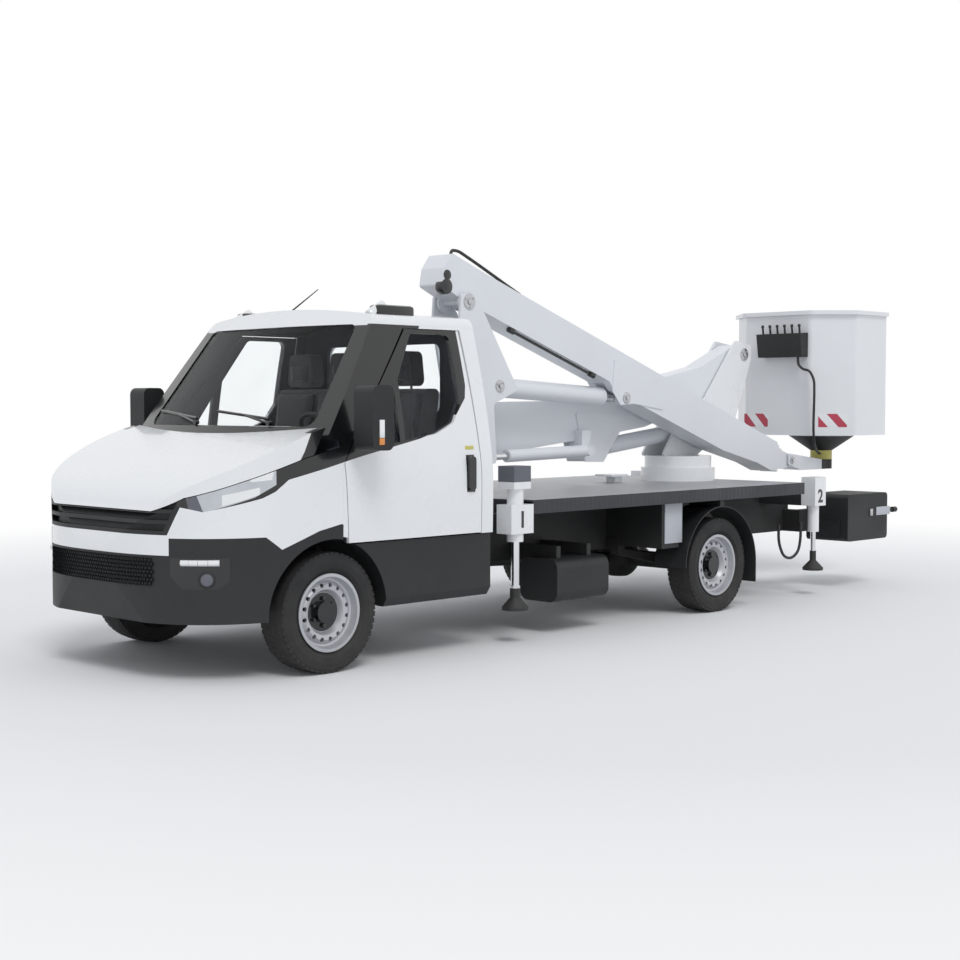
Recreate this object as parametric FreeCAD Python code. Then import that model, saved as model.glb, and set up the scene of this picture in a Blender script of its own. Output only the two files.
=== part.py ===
import FreeCAD, Part
import math
import os

# Cherry picker truck: a light chassis cab with a deck, four stabiliser legs and a folding boom with a basket.
# Millimetres. The origin is on the ground under the middle of the whole vehicle.
# The cab faces -Y, +X is the truck's left side and +Z is up.

# Driving sizes of the vehicle
wheelbase = 3750.0
front_overhang = 950.0
rear_overhang = 3040.0
body_width = 1990.0
cab_height = 2130.0
cab_length = 1304.0
tyre_radius = 350.0
front_axle_y = front_overhang - (front_overhang + wheelbase + rear_overhang) / 2
half_width = body_width / 2

# Clearances and shared thicknesses
cut_over = 40.0
touch_gap = 0.3
seam_gap = 5.0
slide_gap = 5.0
turn_gap = 2.0
pin_gap = 0.05
plate = 20.0
sheet = 8.0


def back(distance):
    """Gives the Y of a point that lies so far behind the front axle."""
    return front_axle_y + distance


# Helpers for solids
def vec(x, y, z):
    """Gives a point."""
    return FreeCAD.Vector(x, y, z)


def box(x_low, x_high, y_low, y_high, z_low, z_high):
    """Makes a box from its limits."""
    return Part.makeBox(x_high - x_low, y_high - y_low, z_high - z_low, vec(x_low, y_low, z_low))


def cylinder(centre, axis, radius, length):
    """Makes a cylinder centred on a point, along an axis."""
    direction = FreeCAD.Vector(axis)
    direction.normalize()
    start = centre - direction * (length / 2)
    return Part.makeCylinder(radius, length, start, direction)


def rod(start, end, radius):
    """Makes a round bar between two points."""
    run = end - start
    return Part.makeCylinder(radius, run.Length, start, run)


def fuse(shapes):
    """Joins solids into one."""
    first = shapes[0]
    if len(shapes) == 1:
        return first
    return first.fuse(shapes[1:]).removeSplitter()


def cut(shape, tools):
    """Takes tools away from a solid."""
    return shape.cut(tools) if isinstance(tools, list) else shape.cut([tools])


def common(shape, tool):
    """Keeps what two solids share."""
    return shape.common(tool)


def mirrored(shape):
    """Gives the same solid on the other side of the vehicle."""
    return shape.mirror(vec(0, 0, 0), vec(1, 0, 0))


def pair(shape):
    """Gives a solid and its mirror image as one compound."""
    return Part.makeCompound([shape, mirrored(shape)])


def lift_yz(x):
    """Places outline points in a plane across X."""
    return lambda u, v: vec(x, u, v)


def lift_xz(y):
    """Places outline points in a plane across Y."""
    return lambda u, v: vec(u, y, v)


def lift_xy(z):
    """Places outline points in a plane across Z."""
    return lambda u, v: vec(u, v, z)


def corner_arc(before, corner, after, radius):
    """Gives start, middle and end of the arc that rounds a corner."""
    to_before = math.hypot(before[0] - corner[0], before[1] - corner[1])
    to_after = math.hypot(after[0] - corner[0], after[1] - corner[1])
    first = ((before[0] - corner[0]) / to_before, (before[1] - corner[1]) / to_before)
    second = ((after[0] - corner[0]) / to_after, (after[1] - corner[1]) / to_after)
    half = math.acos(max(-1, min(1, first[0] * second[0] + first[1] * second[1]))) / 2
    run = radius / math.tan(half)
    middle = (first[0] + second[0], first[1] + second[1])
    size = math.hypot(middle[0], middle[1])
    reach = radius / math.sin(half) - radius
    start = (corner[0] + first[0] * run, corner[1] + first[1] * run)
    end = (corner[0] + second[0] * run, corner[1] + second[1] * run)
    top = (corner[0] + middle[0] / size * reach, corner[1] + middle[1] / size * reach)
    return start, top, end


def outline(points, lift, radius=0.0):
    """Makes a closed wire from corners, each rounded by one radius or by its own third value."""
    count = len(points)
    stops = []
    for index in range(count):
        corner = points[index]
        own = corner[2] if len(corner) > 2 else radius
        if own:
            stops.append(corner_arc(points[index - 1], corner, points[(index + 1) % count], own))
        else:
            stops.append((corner, corner, corner))
    edges = []
    for index in range(count):
        start, top, end = stops[index]
        if start is not end:
            edges.append(Part.Arc(lift(*start[:2]), lift(*top), lift(*end[:2])).toShape())
        following = stops[(index + 1) % count][0]
        if math.hypot(following[0] - end[0], following[1] - end[1]) > touch_gap / 10:
            edges.append(Part.makeLine(lift(*end[:2]), lift(*following[:2])))
    return Part.Wire(edges)


def prism_yz(points, x_low, x_high, radius=0.0):
    """Extrudes a side view outline across the vehicle."""
    return Part.Face(outline(points, lift_yz(x_low), radius)).extrude(vec(x_high - x_low, 0, 0))


def prism_xz(points, y_low, y_high, radius=0.0):
    """Extrudes a front view outline along the vehicle."""
    return Part.Face(outline(points, lift_xz(y_low), radius)).extrude(vec(0, y_high - y_low, 0))


def prism_xy(points, z_low, z_high, radius=0.0):
    """Extrudes a plan view outline upwards."""
    return Part.Face(outline(points, lift_xy(z_low), radius)).extrude(vec(0, 0, z_high - z_low))


def spline(points):
    """Makes a smooth edge through points."""
    curve = Part.BSplineCurve()
    curve.interpolate(points)
    return curve.toShape()


def symmetric_points(shares, width, length):
    """Turns the shares of one half of a front or plan outline into the points of both halves."""
    right = [(-u * width, v * length) for u, v in reversed(shares[1:])]
    left = [(u * width, v * length) for u, v in shares]
    return right + left


def save(name, shape):
    """Writes one piece."""
    shape.exportStep(os.path.join("parts", name + ".step"))


# Cab and front end: outlines as shares of the sizes that they follow
cab_wall = 45.0
cab_floor_z = 740.0
cab_sill_z = 335.0
scuttle_y = back(75.0)
scuttle_z = 1340.0
cab_back_y = back(cab_length)
plan_shares = ((0.0, -1.0), (0.302, -0.986), (0.553, -0.925), (0.744, -0.81), (0.872, -0.645),
               (0.950, -0.43), (0.985, -0.18), (0.9975, 0.0), (1.0, 0.16))
side_shares = ((0.967, 0.13), (0.992, 0.30), (1.0, 0.44), (0.997, 0.54), (0.972, 0.63), (0.90, 0.80),
               (0.82, 0.945))
roof_edge_share = 0.962
roof_corner = 75.0
nose_shares = ((-0.955, 0.155), (-0.985, 0.22), (-1.0, 0.30), (-0.995, 0.37), (-0.965, 0.425), (-0.93, 0.458))
bonnet_shares = ((-0.93, 0.458), (-0.875, 0.497), (-0.76, 0.532), (-0.55, 0.577), (-0.30, 0.622),
                 (-0.10, 0.653), (0.10, 0.672))
bonnet_line_shares = ((-1.1, 0.435), (-0.95, 0.444), (-0.85, 0.483), (-0.60, 0.523), (-0.19, 0.583),
                      (0.0, 0.603), (0.12, 0.614))
screen_low_z = 1250.0
screen_high_z = 2250.0
screen_low_y = back(-209.0)
screen_high_y = back(532.0)
screen_bow = 80.0
screen_chord = 800.0
screen_base_z = 1412.0
screen_top_z = 2020.0
screen_base_half = 820.0
screen_top_half = 712.0
screen_corner = 50.0
screen_glass = 6.0
screen_set = 6.0
cowl_gap = 45.0
rear_window_low_z = 1480.0
rear_window_high_z = 1930.0
rear_window_half = 560.0
rear_window_corner = 60.0
bumper_top_z = 712.0
bumper_corner_top_z = 808.0
bumper_corner_x = 610.0
band_top_z = 825.0
cladding_top_z = 735.0
arch_radius = 425.0
arch_hump_z = 858.0
grille_half = 600.0
grille_flare = 130.0
grille_depth = 30.0
grille_bar = 22.0
grille_slot = 38.0
grille_bar_count = 4
lamp_inner_x = 655.0
lamp_depth = 60.0
lamp_shares = ((-0.90, 0.47), (-0.865, 0.46), (-0.78, 0.448), (-0.48, 0.481), (-0.40, 0.497), (-0.19, 0.57),
               (-0.60, 0.64))
door_shares = ((0.092, 0.10), (0.085, 0.38), (0.068, 0.565), (0.165, 0.66), (0.535, 0.94), (0.905, 0.94),
               (0.925, 0.55), (0.925, 0.10))
window_shares = ((0.262, 0.606), (0.644, 0.640), (0.765, 0.670), (0.825, 0.725), (0.825, 0.925),
                 (0.575, 0.925))
window_corner = 45.0
divider_share = 0.43
divider_width = 45.0
door_glass = 5.0
handle_length = 210.0
handle_width = 60.0
handle_y = back(1108.0)
handle_z = 1115.0
handle_proud = 18.0


def side_outline(inset):
    """Gives the front view outline of the cab: both sides and the roof, moved in by the wall."""
    width = half_width - inset
    height = cab_height - inset
    points = [(u * width, v * height) for u, v in side_shares]
    return points, roof_edge_share * height, height


def side_prism(inset, y_low, y_high):
    """Makes the block that the cab's curved sides and crowned roof bound."""
    points, edge_z, top_z = side_outline(inset)
    left = spline([vec(x, y_low, z) for x, z in points])
    right = spline([vec(-x, y_low, z) for x, z in points])
    low_x, low_z = points[0]
    high_x, high_z = points[-1]
    roof_x = high_x - roof_corner
    roof_start = vec(high_x, y_low, high_z)
    corner_middle = vec(high_x - roof_corner * 0.25, y_low, edge_z + (top_z - edge_z) * 0.12)
    corner_end = vec(roof_x, y_low, edge_z + (top_z - edge_z) * 0.42)
    corner = Part.Arc(roof_start, corner_middle, corner_end).toShape()
    other_corner = Part.Arc(vec(-high_x, y_low, high_z), vec(-corner_middle.x, y_low, corner_middle.z),
                            vec(-roof_x, y_low, corner_end.z)).toShape()
    crown = Part.Arc(corner_end, vec(0, y_low, top_z), vec(-roof_x, y_low, corner_end.z)).toShape()
    floor = Part.makeLine(vec(low_x, y_low, low_z), vec(-low_x, y_low, low_z))
    wire = Part.Wire(Part.__sortEdges__([left, corner, crown, other_corner, right, floor]))
    return Part.Face(wire).extrude(vec(0, y_high - y_low, 0))


def screen_section(z, inset):
    """Gives the plan outline behind the bowed windscreen at one height."""
    rise = (z - screen_low_z) / (screen_high_z - screen_low_z)
    front = screen_low_y + (screen_high_y - screen_low_y) * rise + inset
    reach = half_width * 1.1
    side_drop = screen_bow * (reach / screen_chord) ** 2
    bow = Part.Arc(vec(-reach, front + side_drop, z), vec(0, front, z), vec(reach, front + side_drop, z)).toShape()
    rear = cab_back_y + cut_over
    left = Part.makeLine(vec(reach, front + side_drop, z), vec(reach, rear, z))
    behind = Part.makeLine(vec(reach, rear, z), vec(-reach, rear, z))
    right = Part.makeLine(vec(-reach, rear, z), vec(-reach, front + side_drop, z))
    return Part.Wire([bow, left, behind, right])


def screen_wedge(inset):
    """Makes the block behind the bowed, raked windscreen."""
    extra = screen_low_z - cab_sill_z
    low = screen_section(screen_low_z - extra, inset)
    high = screen_section(screen_high_z, inset)
    return Part.makeLoft([low, high], True, True)


def cabin_block(inset):
    """Makes the cabin as a solid, moved in by the wall thickness."""
    sides = side_prism(inset, back(-front_overhang), cab_back_y - inset)
    slope = (screen_high_y - screen_low_y) / (screen_high_z - screen_low_z)
    rear = cab_back_y + cut_over
    front = back(-front_overhang) - cut_over
    allowed = prism_yz([(scuttle_y + inset, cab_floor_z + inset), (rear, cab_floor_z + inset),
                        (rear, cab_height + cut_over), (front, cab_height + cut_over),
                        (front, scuttle_z + inset), (scuttle_y + inset, scuttle_z + inset)],
                       -body_width, body_width)
    return common(common(sides, screen_wedge(inset * math.hypot(1, slope))), allowed)


def front_block(inset):
    """Makes the front end as a solid: rounded nose in plan, bonnet and bumper in side view."""
    length = front_overhang
    plan = symmetric_points(plan_shares, half_width - inset, length)
    curve = spline([vec(x, back(0) + y + inset, cab_sill_z) for x, y in plan])
    first = curve.Vertexes[0].Point
    last = curve.Vertexes[-1].Point
    closing = Part.makeLine(last, first)
    plan_solid = Part.Face(Part.Wire([curve, closing])).extrude(vec(0, 0, cab_height))
    reach = -(half_width + cut_over)
    nose = [vec(reach, back(0) + u * length + inset, v * cab_height) for u, v in nose_shares]
    top = [vec(reach, back(0) + u * length + inset, v * cab_height - inset) for u, v in bonnet_shares]
    if inset:
        nose = nose[:-1] + [top[0]]
    top_end = vec(reach, back(0) + length, top[-1].z)
    low_end = vec(reach, back(0) + length, nose[0].z)
    edges = [spline(nose), spline(top), Part.makeLine(top[-1], top_end), Part.makeLine(top_end, low_end),
             Part.makeLine(low_end, nose[0])]
    side_solid = Part.Face(Part.Wire(edges)).extrude(vec(-2 * reach, 0, 0))
    sides = side_prism(inset, back(-length) - cut_over, back(0) + length)
    return common(common(plan_solid, side_solid), sides)


def share_points(shares, length, height):
    """Turns side view shares into points of the vehicle."""
    return [(back(u * length), v * height) for u, v in shares]


def arch_cutter(radius, x_low, x_high):
    """Makes the round opening over the left front wheel."""
    return cylinder(vec((x_low + x_high) / 2, back(0), tyre_radius), vec(1, 0, 0), radius, x_high - x_low)


def above_bonnet_line(gap):
    """Makes the block above the line where the bonnet meets the wings."""
    points = share_points(bonnet_line_shares, front_overhang, cab_height)
    points = [(y, z + gap) for y, z in points]
    top = cab_height + cut_over
    corners = points + [(points[-1][0], top), (points[0][0], top)]
    return prism_yz(corners, -body_width, body_width)


def cladding_cutter(gap):
    """Makes the block that holds the black lower body along the side, with its hump over the arch."""
    hump = arch_hump_z - gap
    low = cladding_top_z - gap
    reach = front_overhang
    corners = [(back(-reach * 0.36), low), (back(-reach * 0.24), low + (hump - low) * 0.35),
               (back(-reach * 0.10), hump - (hump - low) * 0.25), (back(reach * 0.06), hump),
               (back(reach * 0.20), hump - (hump - low) * 0.2), (back(reach * 0.37), low),
               (cab_back_y + cut_over, low), (cab_back_y + cut_over, cab_sill_z - cut_over),
               (back(-reach * 0.36), cab_sill_z - cut_over)]
    return prism_yz(corners, -body_width, body_width)


def bumper_cutter(gap):
    """Makes the block that holds the black bumper: low in the middle, high at the corners."""
    rear = back(-front_overhang * 0.36)
    front = back(-front_overhang) - cut_over
    low = box(-body_width, body_width, front, rear, cab_sill_z - cut_over, bumper_top_z - gap)
    corner = prism_yz([(front, bumper_top_z - cut_over), (rear, bumper_top_z - cut_over),
                       (rear, cladding_top_z - gap), (rear - front_overhang * 0.1, bumper_corner_top_z - gap),
                       (front, bumper_corner_top_z - gap)], bumper_corner_x + gap, body_width)
    return fuse([low, corner, mirrored(corner)])


def grille_cutter(gap):
    """Makes the block of the upper grille, wider at its top."""
    top = cab_height * 0.52
    corners = [(-grille_half + gap, band_top_z + gap), (grille_half - gap, band_top_z + gap),
               (grille_half + grille_flare - gap, top), (-grille_half - grille_flare + gap, top)]
    return prism_xz(corners, back(-front_overhang) - cut_over, back(-front_overhang * 0.55))


def lamp_cutter(gap):
    """Makes the block of one headlamp, seen from the side."""
    points = share_points(lamp_shares, front_overhang, cab_height)
    return prism_yz(points, lamp_inner_x + gap, body_width)


def make_front():
    """Makes the front end: bonnet, wings, grille, bumper and headlamps, cut from one shell."""
    outer = front_block(0.0)
    shell = cut(outer, front_block(cab_wall))
    ahead = box(-body_width, body_width, back(-front_overhang) - cut_over, scuttle_y - touch_gap, 0, cab_height)
    bonnet = common(shell, above_bonnet_line(seam_gap / 2))
    bonnet = cut(bonnet, screen_wedge(-cowl_gap))
    shell = common(shell, ahead)
    rest = cut(shell, above_bonnet_line(-seam_gap / 2))
    lamps = common(rest, lamp_cutter(touch_gap))
    lamps = common(lamps, cut(outer, front_block(lamp_depth * 0.5)))
    lamp_zones = [lamp_cutter(0.0), mirrored(lamp_cutter(0.0))]
    grille_zone = cut(common(rest, grille_cutter(0.0)), lamp_zones)
    wheel_holes = [arch_cutter(arch_radius, half_width * 0.5, body_width),
                   mirrored(arch_cutter(arch_radius, half_width * 0.5, body_width))]
    dark = common(rest, fuse([bumper_cutter(0.0), cladding_cutter(0.0)]))
    dark = cut(dark, wheel_holes)
    white = cut(rest, [bumper_cutter(-touch_gap), cladding_cutter(-touch_gap), grille_cutter(-touch_gap)]
                + lamp_zones + wheel_holes)
    bars = [box(-body_width, body_width, back(-front_overhang) - cut_over, back(0), low, low + grille_slot)
            for low in [band_top_z + grille_bar + index * (grille_bar + grille_slot)
                        for index in range(grille_bar_count)]]
    slots = common(cut(outer, front_block(grille_depth)), fuse(bars))
    grille_zone = cut(grille_zone, common(slots, grille_cutter(grille_bar)))
    return bonnet, white, dark, grille_zone, pair(lamps)


def screen_points(grow):
    """Gives the windscreen's corners in the front view, moved out by a margin."""
    return [(-screen_base_half - grow, screen_base_z - grow), (screen_base_half + grow, screen_base_z - grow),
            (screen_top_half + grow, screen_top_z + grow), (-screen_top_half - grow, screen_top_z + grow)]


def rear_window_block(grow, thick):
    """Makes the block of the rear window, moved out by a margin."""
    half = rear_window_half + grow
    points = [(-half, rear_window_low_z - grow), (half, rear_window_low_z - grow),
              (half, rear_window_high_z + grow), (-half, rear_window_high_z + grow)]
    middle = cab_back_y - cab_wall / 2
    return prism_xz(points, middle - thick / 2, middle + thick / 2, rear_window_corner)


def make_cabin():
    """Makes the hollow cab shell with its openings, and the glass that it holds."""
    skin = cut(cabin_block(0.0), cabin_block(cab_wall))
    reach = (scuttle_y - front_overhang, back(cab_length * 0.75))
    screen_hole = prism_xz(screen_points(0.0), reach[0], reach[1], screen_corner)
    rear_hole = rear_window_block(0.0, cab_wall + cut_over)
    door_hole = prism_yz(share_points(door_shares, cab_length, cab_height), half_width * 0.5, body_width)
    slab_top = cab_floor_z + cab_wall
    above = box(0, body_width, scuttle_y, cab_back_y, slab_top, cab_height)
    edge = box(half_width - cab_wall - cab_wall / 3, body_width, scuttle_y, cab_back_y, 0, slab_top)
    door_hole = common(door_hole, fuse([above, edge]))
    arch = arch_cutter(liner_radius + guard_thick + touch_gap, liner_low_x - touch_gap, body_width)
    shell = cut(skin, [screen_hole, rear_hole, door_hole, mirrored(door_hole), arch, mirrored(arch)])
    layer = cut(cabin_block(screen_set), cabin_block(screen_set + screen_glass))
    glass_zone = prism_xz(screen_points(-touch_gap), reach[0], reach[1], screen_corner)
    ahead = prism_yz([(reach[0], scuttle_z), (back(cab_length * 0.6), scuttle_z),
                      (back(cab_length * 0.6), cab_height * 0.98), (reach[0], cab_height * 0.98)],
                     -body_width, body_width)
    windscreen = common(common(layer, glass_zone), ahead)
    rear_glass = rear_window_block(-touch_gap, screen_glass)
    return shell, Part.makeCompound([windscreen, rear_glass])


def make_doors():
    """Makes the left door and its glass from the cab's side wall."""
    points = share_points(door_shares, cab_length, cab_height)
    middle = (points[1][0] + points[-1][0]) / 2
    inner = []
    for y, z in points:
        high = z > cab_height * 0.7
        ahead = y < middle or (high and y < back(cab_length * 0.75))
        shift = seam_gap * (2.4 if high else 1.4) if ahead else -seam_gap * (3.4 if high else 1.4)
        inner.append((y + shift, z - seam_gap if high else z))
    block = prism_yz(inner, half_width * 0.5, body_width)
    floor_cut = box(0, body_width, back(-front_overhang), cab_back_y, 0, cab_floor_z + seam_gap)
    wall = cut(side_prism(0.0, scuttle_y, cab_back_y), side_prism(cab_wall, scuttle_y - cut_over, cab_back_y + cut_over))
    door = cut(common(wall, block), floor_cut)
    window = prism_yz(share_points(window_shares, cab_length, cab_height), half_width * 0.5, body_width,
                      window_corner)
    divider_y = back(cab_length * divider_share)
    divider = box(half_width * 0.5, body_width, divider_y - divider_width / 2, divider_y + divider_width / 2,
                  cab_height * 0.5, cab_height)
    hole = cut(window, divider)
    door = cut(door, hole)
    layer = cut(cabin_block(cab_wall * 0.4), cabin_block(cab_wall * 0.4 + door_glass))
    return fuse([door, handle_block()]), common(layer, hole)


def handle_block():
    """Makes the upright door handle, standing proud of the door's skin."""
    half = handle_width / 2
    tall = handle_length / 2
    points = [(handle_y - half, handle_z - tall), (handle_y + half, handle_z - tall),
              (handle_y + half, handle_z + tall), (handle_y - half, handle_z + tall)]
    return prism_yz(points, half_width - cab_wall / 2, half_width + handle_proud, handle_width * 0.4)


# Cab fittings
dash_y = back(330.0)
dash_top_z = 1330.0
dash_low_z = 900.0
dash_side_gap = 60.0
wheel_x = 400.0
wheel_y = back(470.0)
wheel_z = 1335.0
wheel_radius = 205.0
wheel_grip = 16.0
column_radius = 28.0
seat_front_y = back(600.0)
seat_length = 480.0
seat_low_z = cab_floor_z + cab_wall
seat_top_z = 1120.0
seat_back_top_z = 1640.0
seat_back_thick = 130.0
head_rest_top_z = 1880.0
driver_seat_x = 400.0
driver_seat_width = 500.0
bench_x = -370.0
bench_width = 880.0
head_rest_width = 270.0
head_rest_thick = 110.0
mirror_x = 1140.0
mirror_width = 165.0
mirror_y = back(180.0)
mirror_length = 160.0
mirror_low_z = 1280.0
mirror_top_z = 1650.0
mirror_corner = 45.0
mirror_arm_radius = 16.0
mirror_foot_y = back(290.0)
sill_inner_x = 700.0
sill_front_y = scuttle_y
sill_bottom_z = 345.0
sill_corner = 25.0


def make_dashboard():
    """Makes the dashboard with the steering column and wheel."""
    half = half_width - cab_wall - dash_side_gap
    front = scuttle_y + cab_wall + seam_gap
    top_front = (front, dash_top_z)
    body = prism_yz([(front, dash_low_z), (dash_y - cab_wall, dash_low_z), (dash_y, dash_top_z - cab_wall * 2),
                     (dash_y - cab_wall, dash_top_z), top_front], -half, half)
    bracket = box(-half / 2, half / 2, front, front + cab_wall * 2, cab_floor_z + cab_wall, dash_low_z)
    centre = vec(wheel_x, wheel_y, wheel_z)
    tilt = vec(0, wheel_y - dash_y, wheel_z - dash_top_z + cab_wall * 3)
    column = rod(vec(wheel_x, dash_y - cab_wall, dash_top_z - cab_wall * 4), centre, column_radius)
    rim = Part.makeTorus(wheel_radius, wheel_grip, centre, tilt)
    hub = cylinder(centre, tilt, wheel_radius * 0.3, wheel_grip * 2)
    across = vec(1, 0, 0)
    down = tilt.cross(across)
    spokes = [rod(centre, centre + direction * (wheel_radius / direction.Length), wheel_grip * 0.8)
              for direction in (across, -across, down if down.z < 0 else -down)]
    return fuse([body, bracket, column, rim, hub] + spokes)


def seat(x, width, rest_count):
    """Makes one seat: base, cushion, back rest and head rests."""
    low = x - width / 2
    high = x + width / 2
    rear = seat_front_y + seat_length
    inset = cab_wall
    base = box(low + inset, high - inset, seat_front_y + inset * 2, rear - inset, seat_low_z,
               seat_top_z - seat_back_thick)
    cushion = prism_yz([(seat_front_y, seat_top_z - seat_back_thick), (rear, seat_top_z - seat_back_thick),
                        (rear, seat_top_z - inset), (seat_front_y, seat_top_z)], low, high, inset * 0.8)
    lean = seat_back_thick * 0.7
    rest = prism_yz([(rear - seat_back_thick, seat_top_z - inset * 2), (rear, seat_top_z - inset * 2),
                     (rear + lean, seat_back_top_z), (rear + lean - seat_back_thick, seat_back_top_z)],
                    low, high, inset * 0.8)
    pieces = [base, cushion, rest]
    for index in range(rest_count):
        middle = low + width * (index + 0.5) / rest_count
        y_low = rear + lean - seat_back_thick
        pieces.append(prism_xz([(middle - head_rest_width / 2, seat_back_top_z + inset * 0.4),
                                (middle + head_rest_width / 2, seat_back_top_z + inset * 0.4),
                                (middle + head_rest_width * 0.4, head_rest_top_z),
                                (middle - head_rest_width * 0.4, head_rest_top_z)],
                               y_low, y_low + head_rest_thick, inset))
        pieces += [rod(vec(middle + side * head_rest_width * 0.25, y_low + head_rest_thick / 2, seat_back_top_z - inset),
                       vec(middle + side * head_rest_width * 0.25, y_low + head_rest_thick / 2,
                           seat_back_top_z + inset), wheel_grip * 0.5) for side in (-1, 1)]
    return fuse(pieces)


def make_seats():
    """Makes the driver's seat and the double seat beside it."""
    return Part.makeCompound([seat(driver_seat_x, driver_seat_width, 1), seat(bench_x, bench_width, 2)])


def make_mirror(skin_block):
    """Makes the left door mirror with its foot on the door."""
    points = [(mirror_y - mirror_length / 2, mirror_low_z), (mirror_y + mirror_length / 2, mirror_low_z),
              (mirror_y + mirror_length / 2, mirror_top_z), (mirror_y - mirror_length / 2, mirror_top_z)]
    low_x = mirror_x - mirror_width / 2
    body = prism_yz(points, low_x, low_x + mirror_width, mirror_corner)
    foot_x = half_width - cab_wall / 2
    arms = []
    for z in (mirror_low_z + mirror_corner * 1.6, mirror_low_z + mirror_corner * 2.6):
        arms.append(rod(vec(mirror_x, mirror_y, z), vec(foot_x, mirror_foot_y, z), mirror_arm_radius))
    pad_half = mirror_corner * 0.7
    pad = prism_yz([(mirror_foot_y - pad_half, mirror_low_z + mirror_corner),
                    (mirror_foot_y + pad_half, mirror_low_z + mirror_corner),
                    (mirror_foot_y + pad_half, mirror_low_z + mirror_corner * 3.2),
                    (mirror_foot_y - pad_half, mirror_low_z + mirror_corner * 3.2)],
                   half_width - cab_wall * 1.5, half_width + mirror_arm_radius * 0.2, pad_half * 0.6)
    return cut(fuse([body, pad] + arms), skin_block)


def make_sills():
    """Makes the black lower panels below the doors."""
    low = prism_xz([(sill_inner_x, sill_bottom_z), (half_width * 0.967 - sill_corner, sill_bottom_z),
                    (half_width * 0.975, sill_bottom_z + sill_corner * 2), (half_width * 0.975, cladding_top_z),
                    (sill_inner_x, cladding_top_z)], sill_front_y, cab_back_y)
    arch = arch_cutter(arch_radius, 0, body_width)
    inner = arch_cutter(liner_radius + guard_thick + touch_gap, 0, liner_high_x + touch_gap)
    return pair(cut(low, [arch, inner]))


# Chassis, axles and wheels
rail_inner_x = 350.0
rail_outer_x = 415.0
rail_low_z = 480.0
rail_top_z = 660.0
rail_front_y = back(-750.0)
rail_rear_y = back(5480.0)
rail_wall = 10.0
cross_width = 80.0
cross_places_shares = (-0.185, 0.21, 0.42, 0.72, 0.93, 1.12, 1.40)
deck_low_z = 835.0
deck_top_z = 925.0
deck_front_y = back(1610.0)
deck_rear_y = back(4830.0)
deck_sheet = 12.0
rear_beam_y = back(5060.0)
rear_beam_length = 160.0
front_beam_y = back(1480.0)
front_beam_length = 190.0
beam_low_z = 726.0
cab_mount_radius = 40.0
track_front_x = 858.0
track_rear_x = 845.0
tyre_width = 225.0
rim_radius = 220.0
rim_flange = 12.0
vent_count = 16
vent_radius = 13.0
flap_low_z = 194.0
hub_radius = 62.0
kingpin_x = 700.0
kingpin_radius = 22.0
axle_beam_radius = 42.0
spring_x = 500.0
spring_width = 70.0
spring_thick = 34.0
spring_reach = 620.0
rear_tube_radius = 62.0
diff_radius = 165.0
shaft_radius = 38.0
engine_half = 250.0
engine_front_y = back(-500.0)
engine_rear_y = back(-50.0)
engine_low_z = 500.0
engine_top_z = 1000.0
gearbox_half = 130.0
gearbox_rear_y = back(700.0)
tank_x = 745.0
tank_front_y = back(2000.0)
tank_rear_y = back(2530.0)
tank_low_z = 220.0
tank_top_z = 510.0
tank_half = 170.0
tank_corner = 70.0
guard_radius = 440.0
guard_thick = 8.0
guard_low_x = 700.0
guard_high_x = 985.0
liner_low_x = 541.0
liner_high_x = 880.0
liner_radius = 432.0
bracket_front_y = back(3100.0)
bracket_rear_y = back(3300.0)
bracket_low_z = 510.0
bracket_face_x = 930.0


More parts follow.
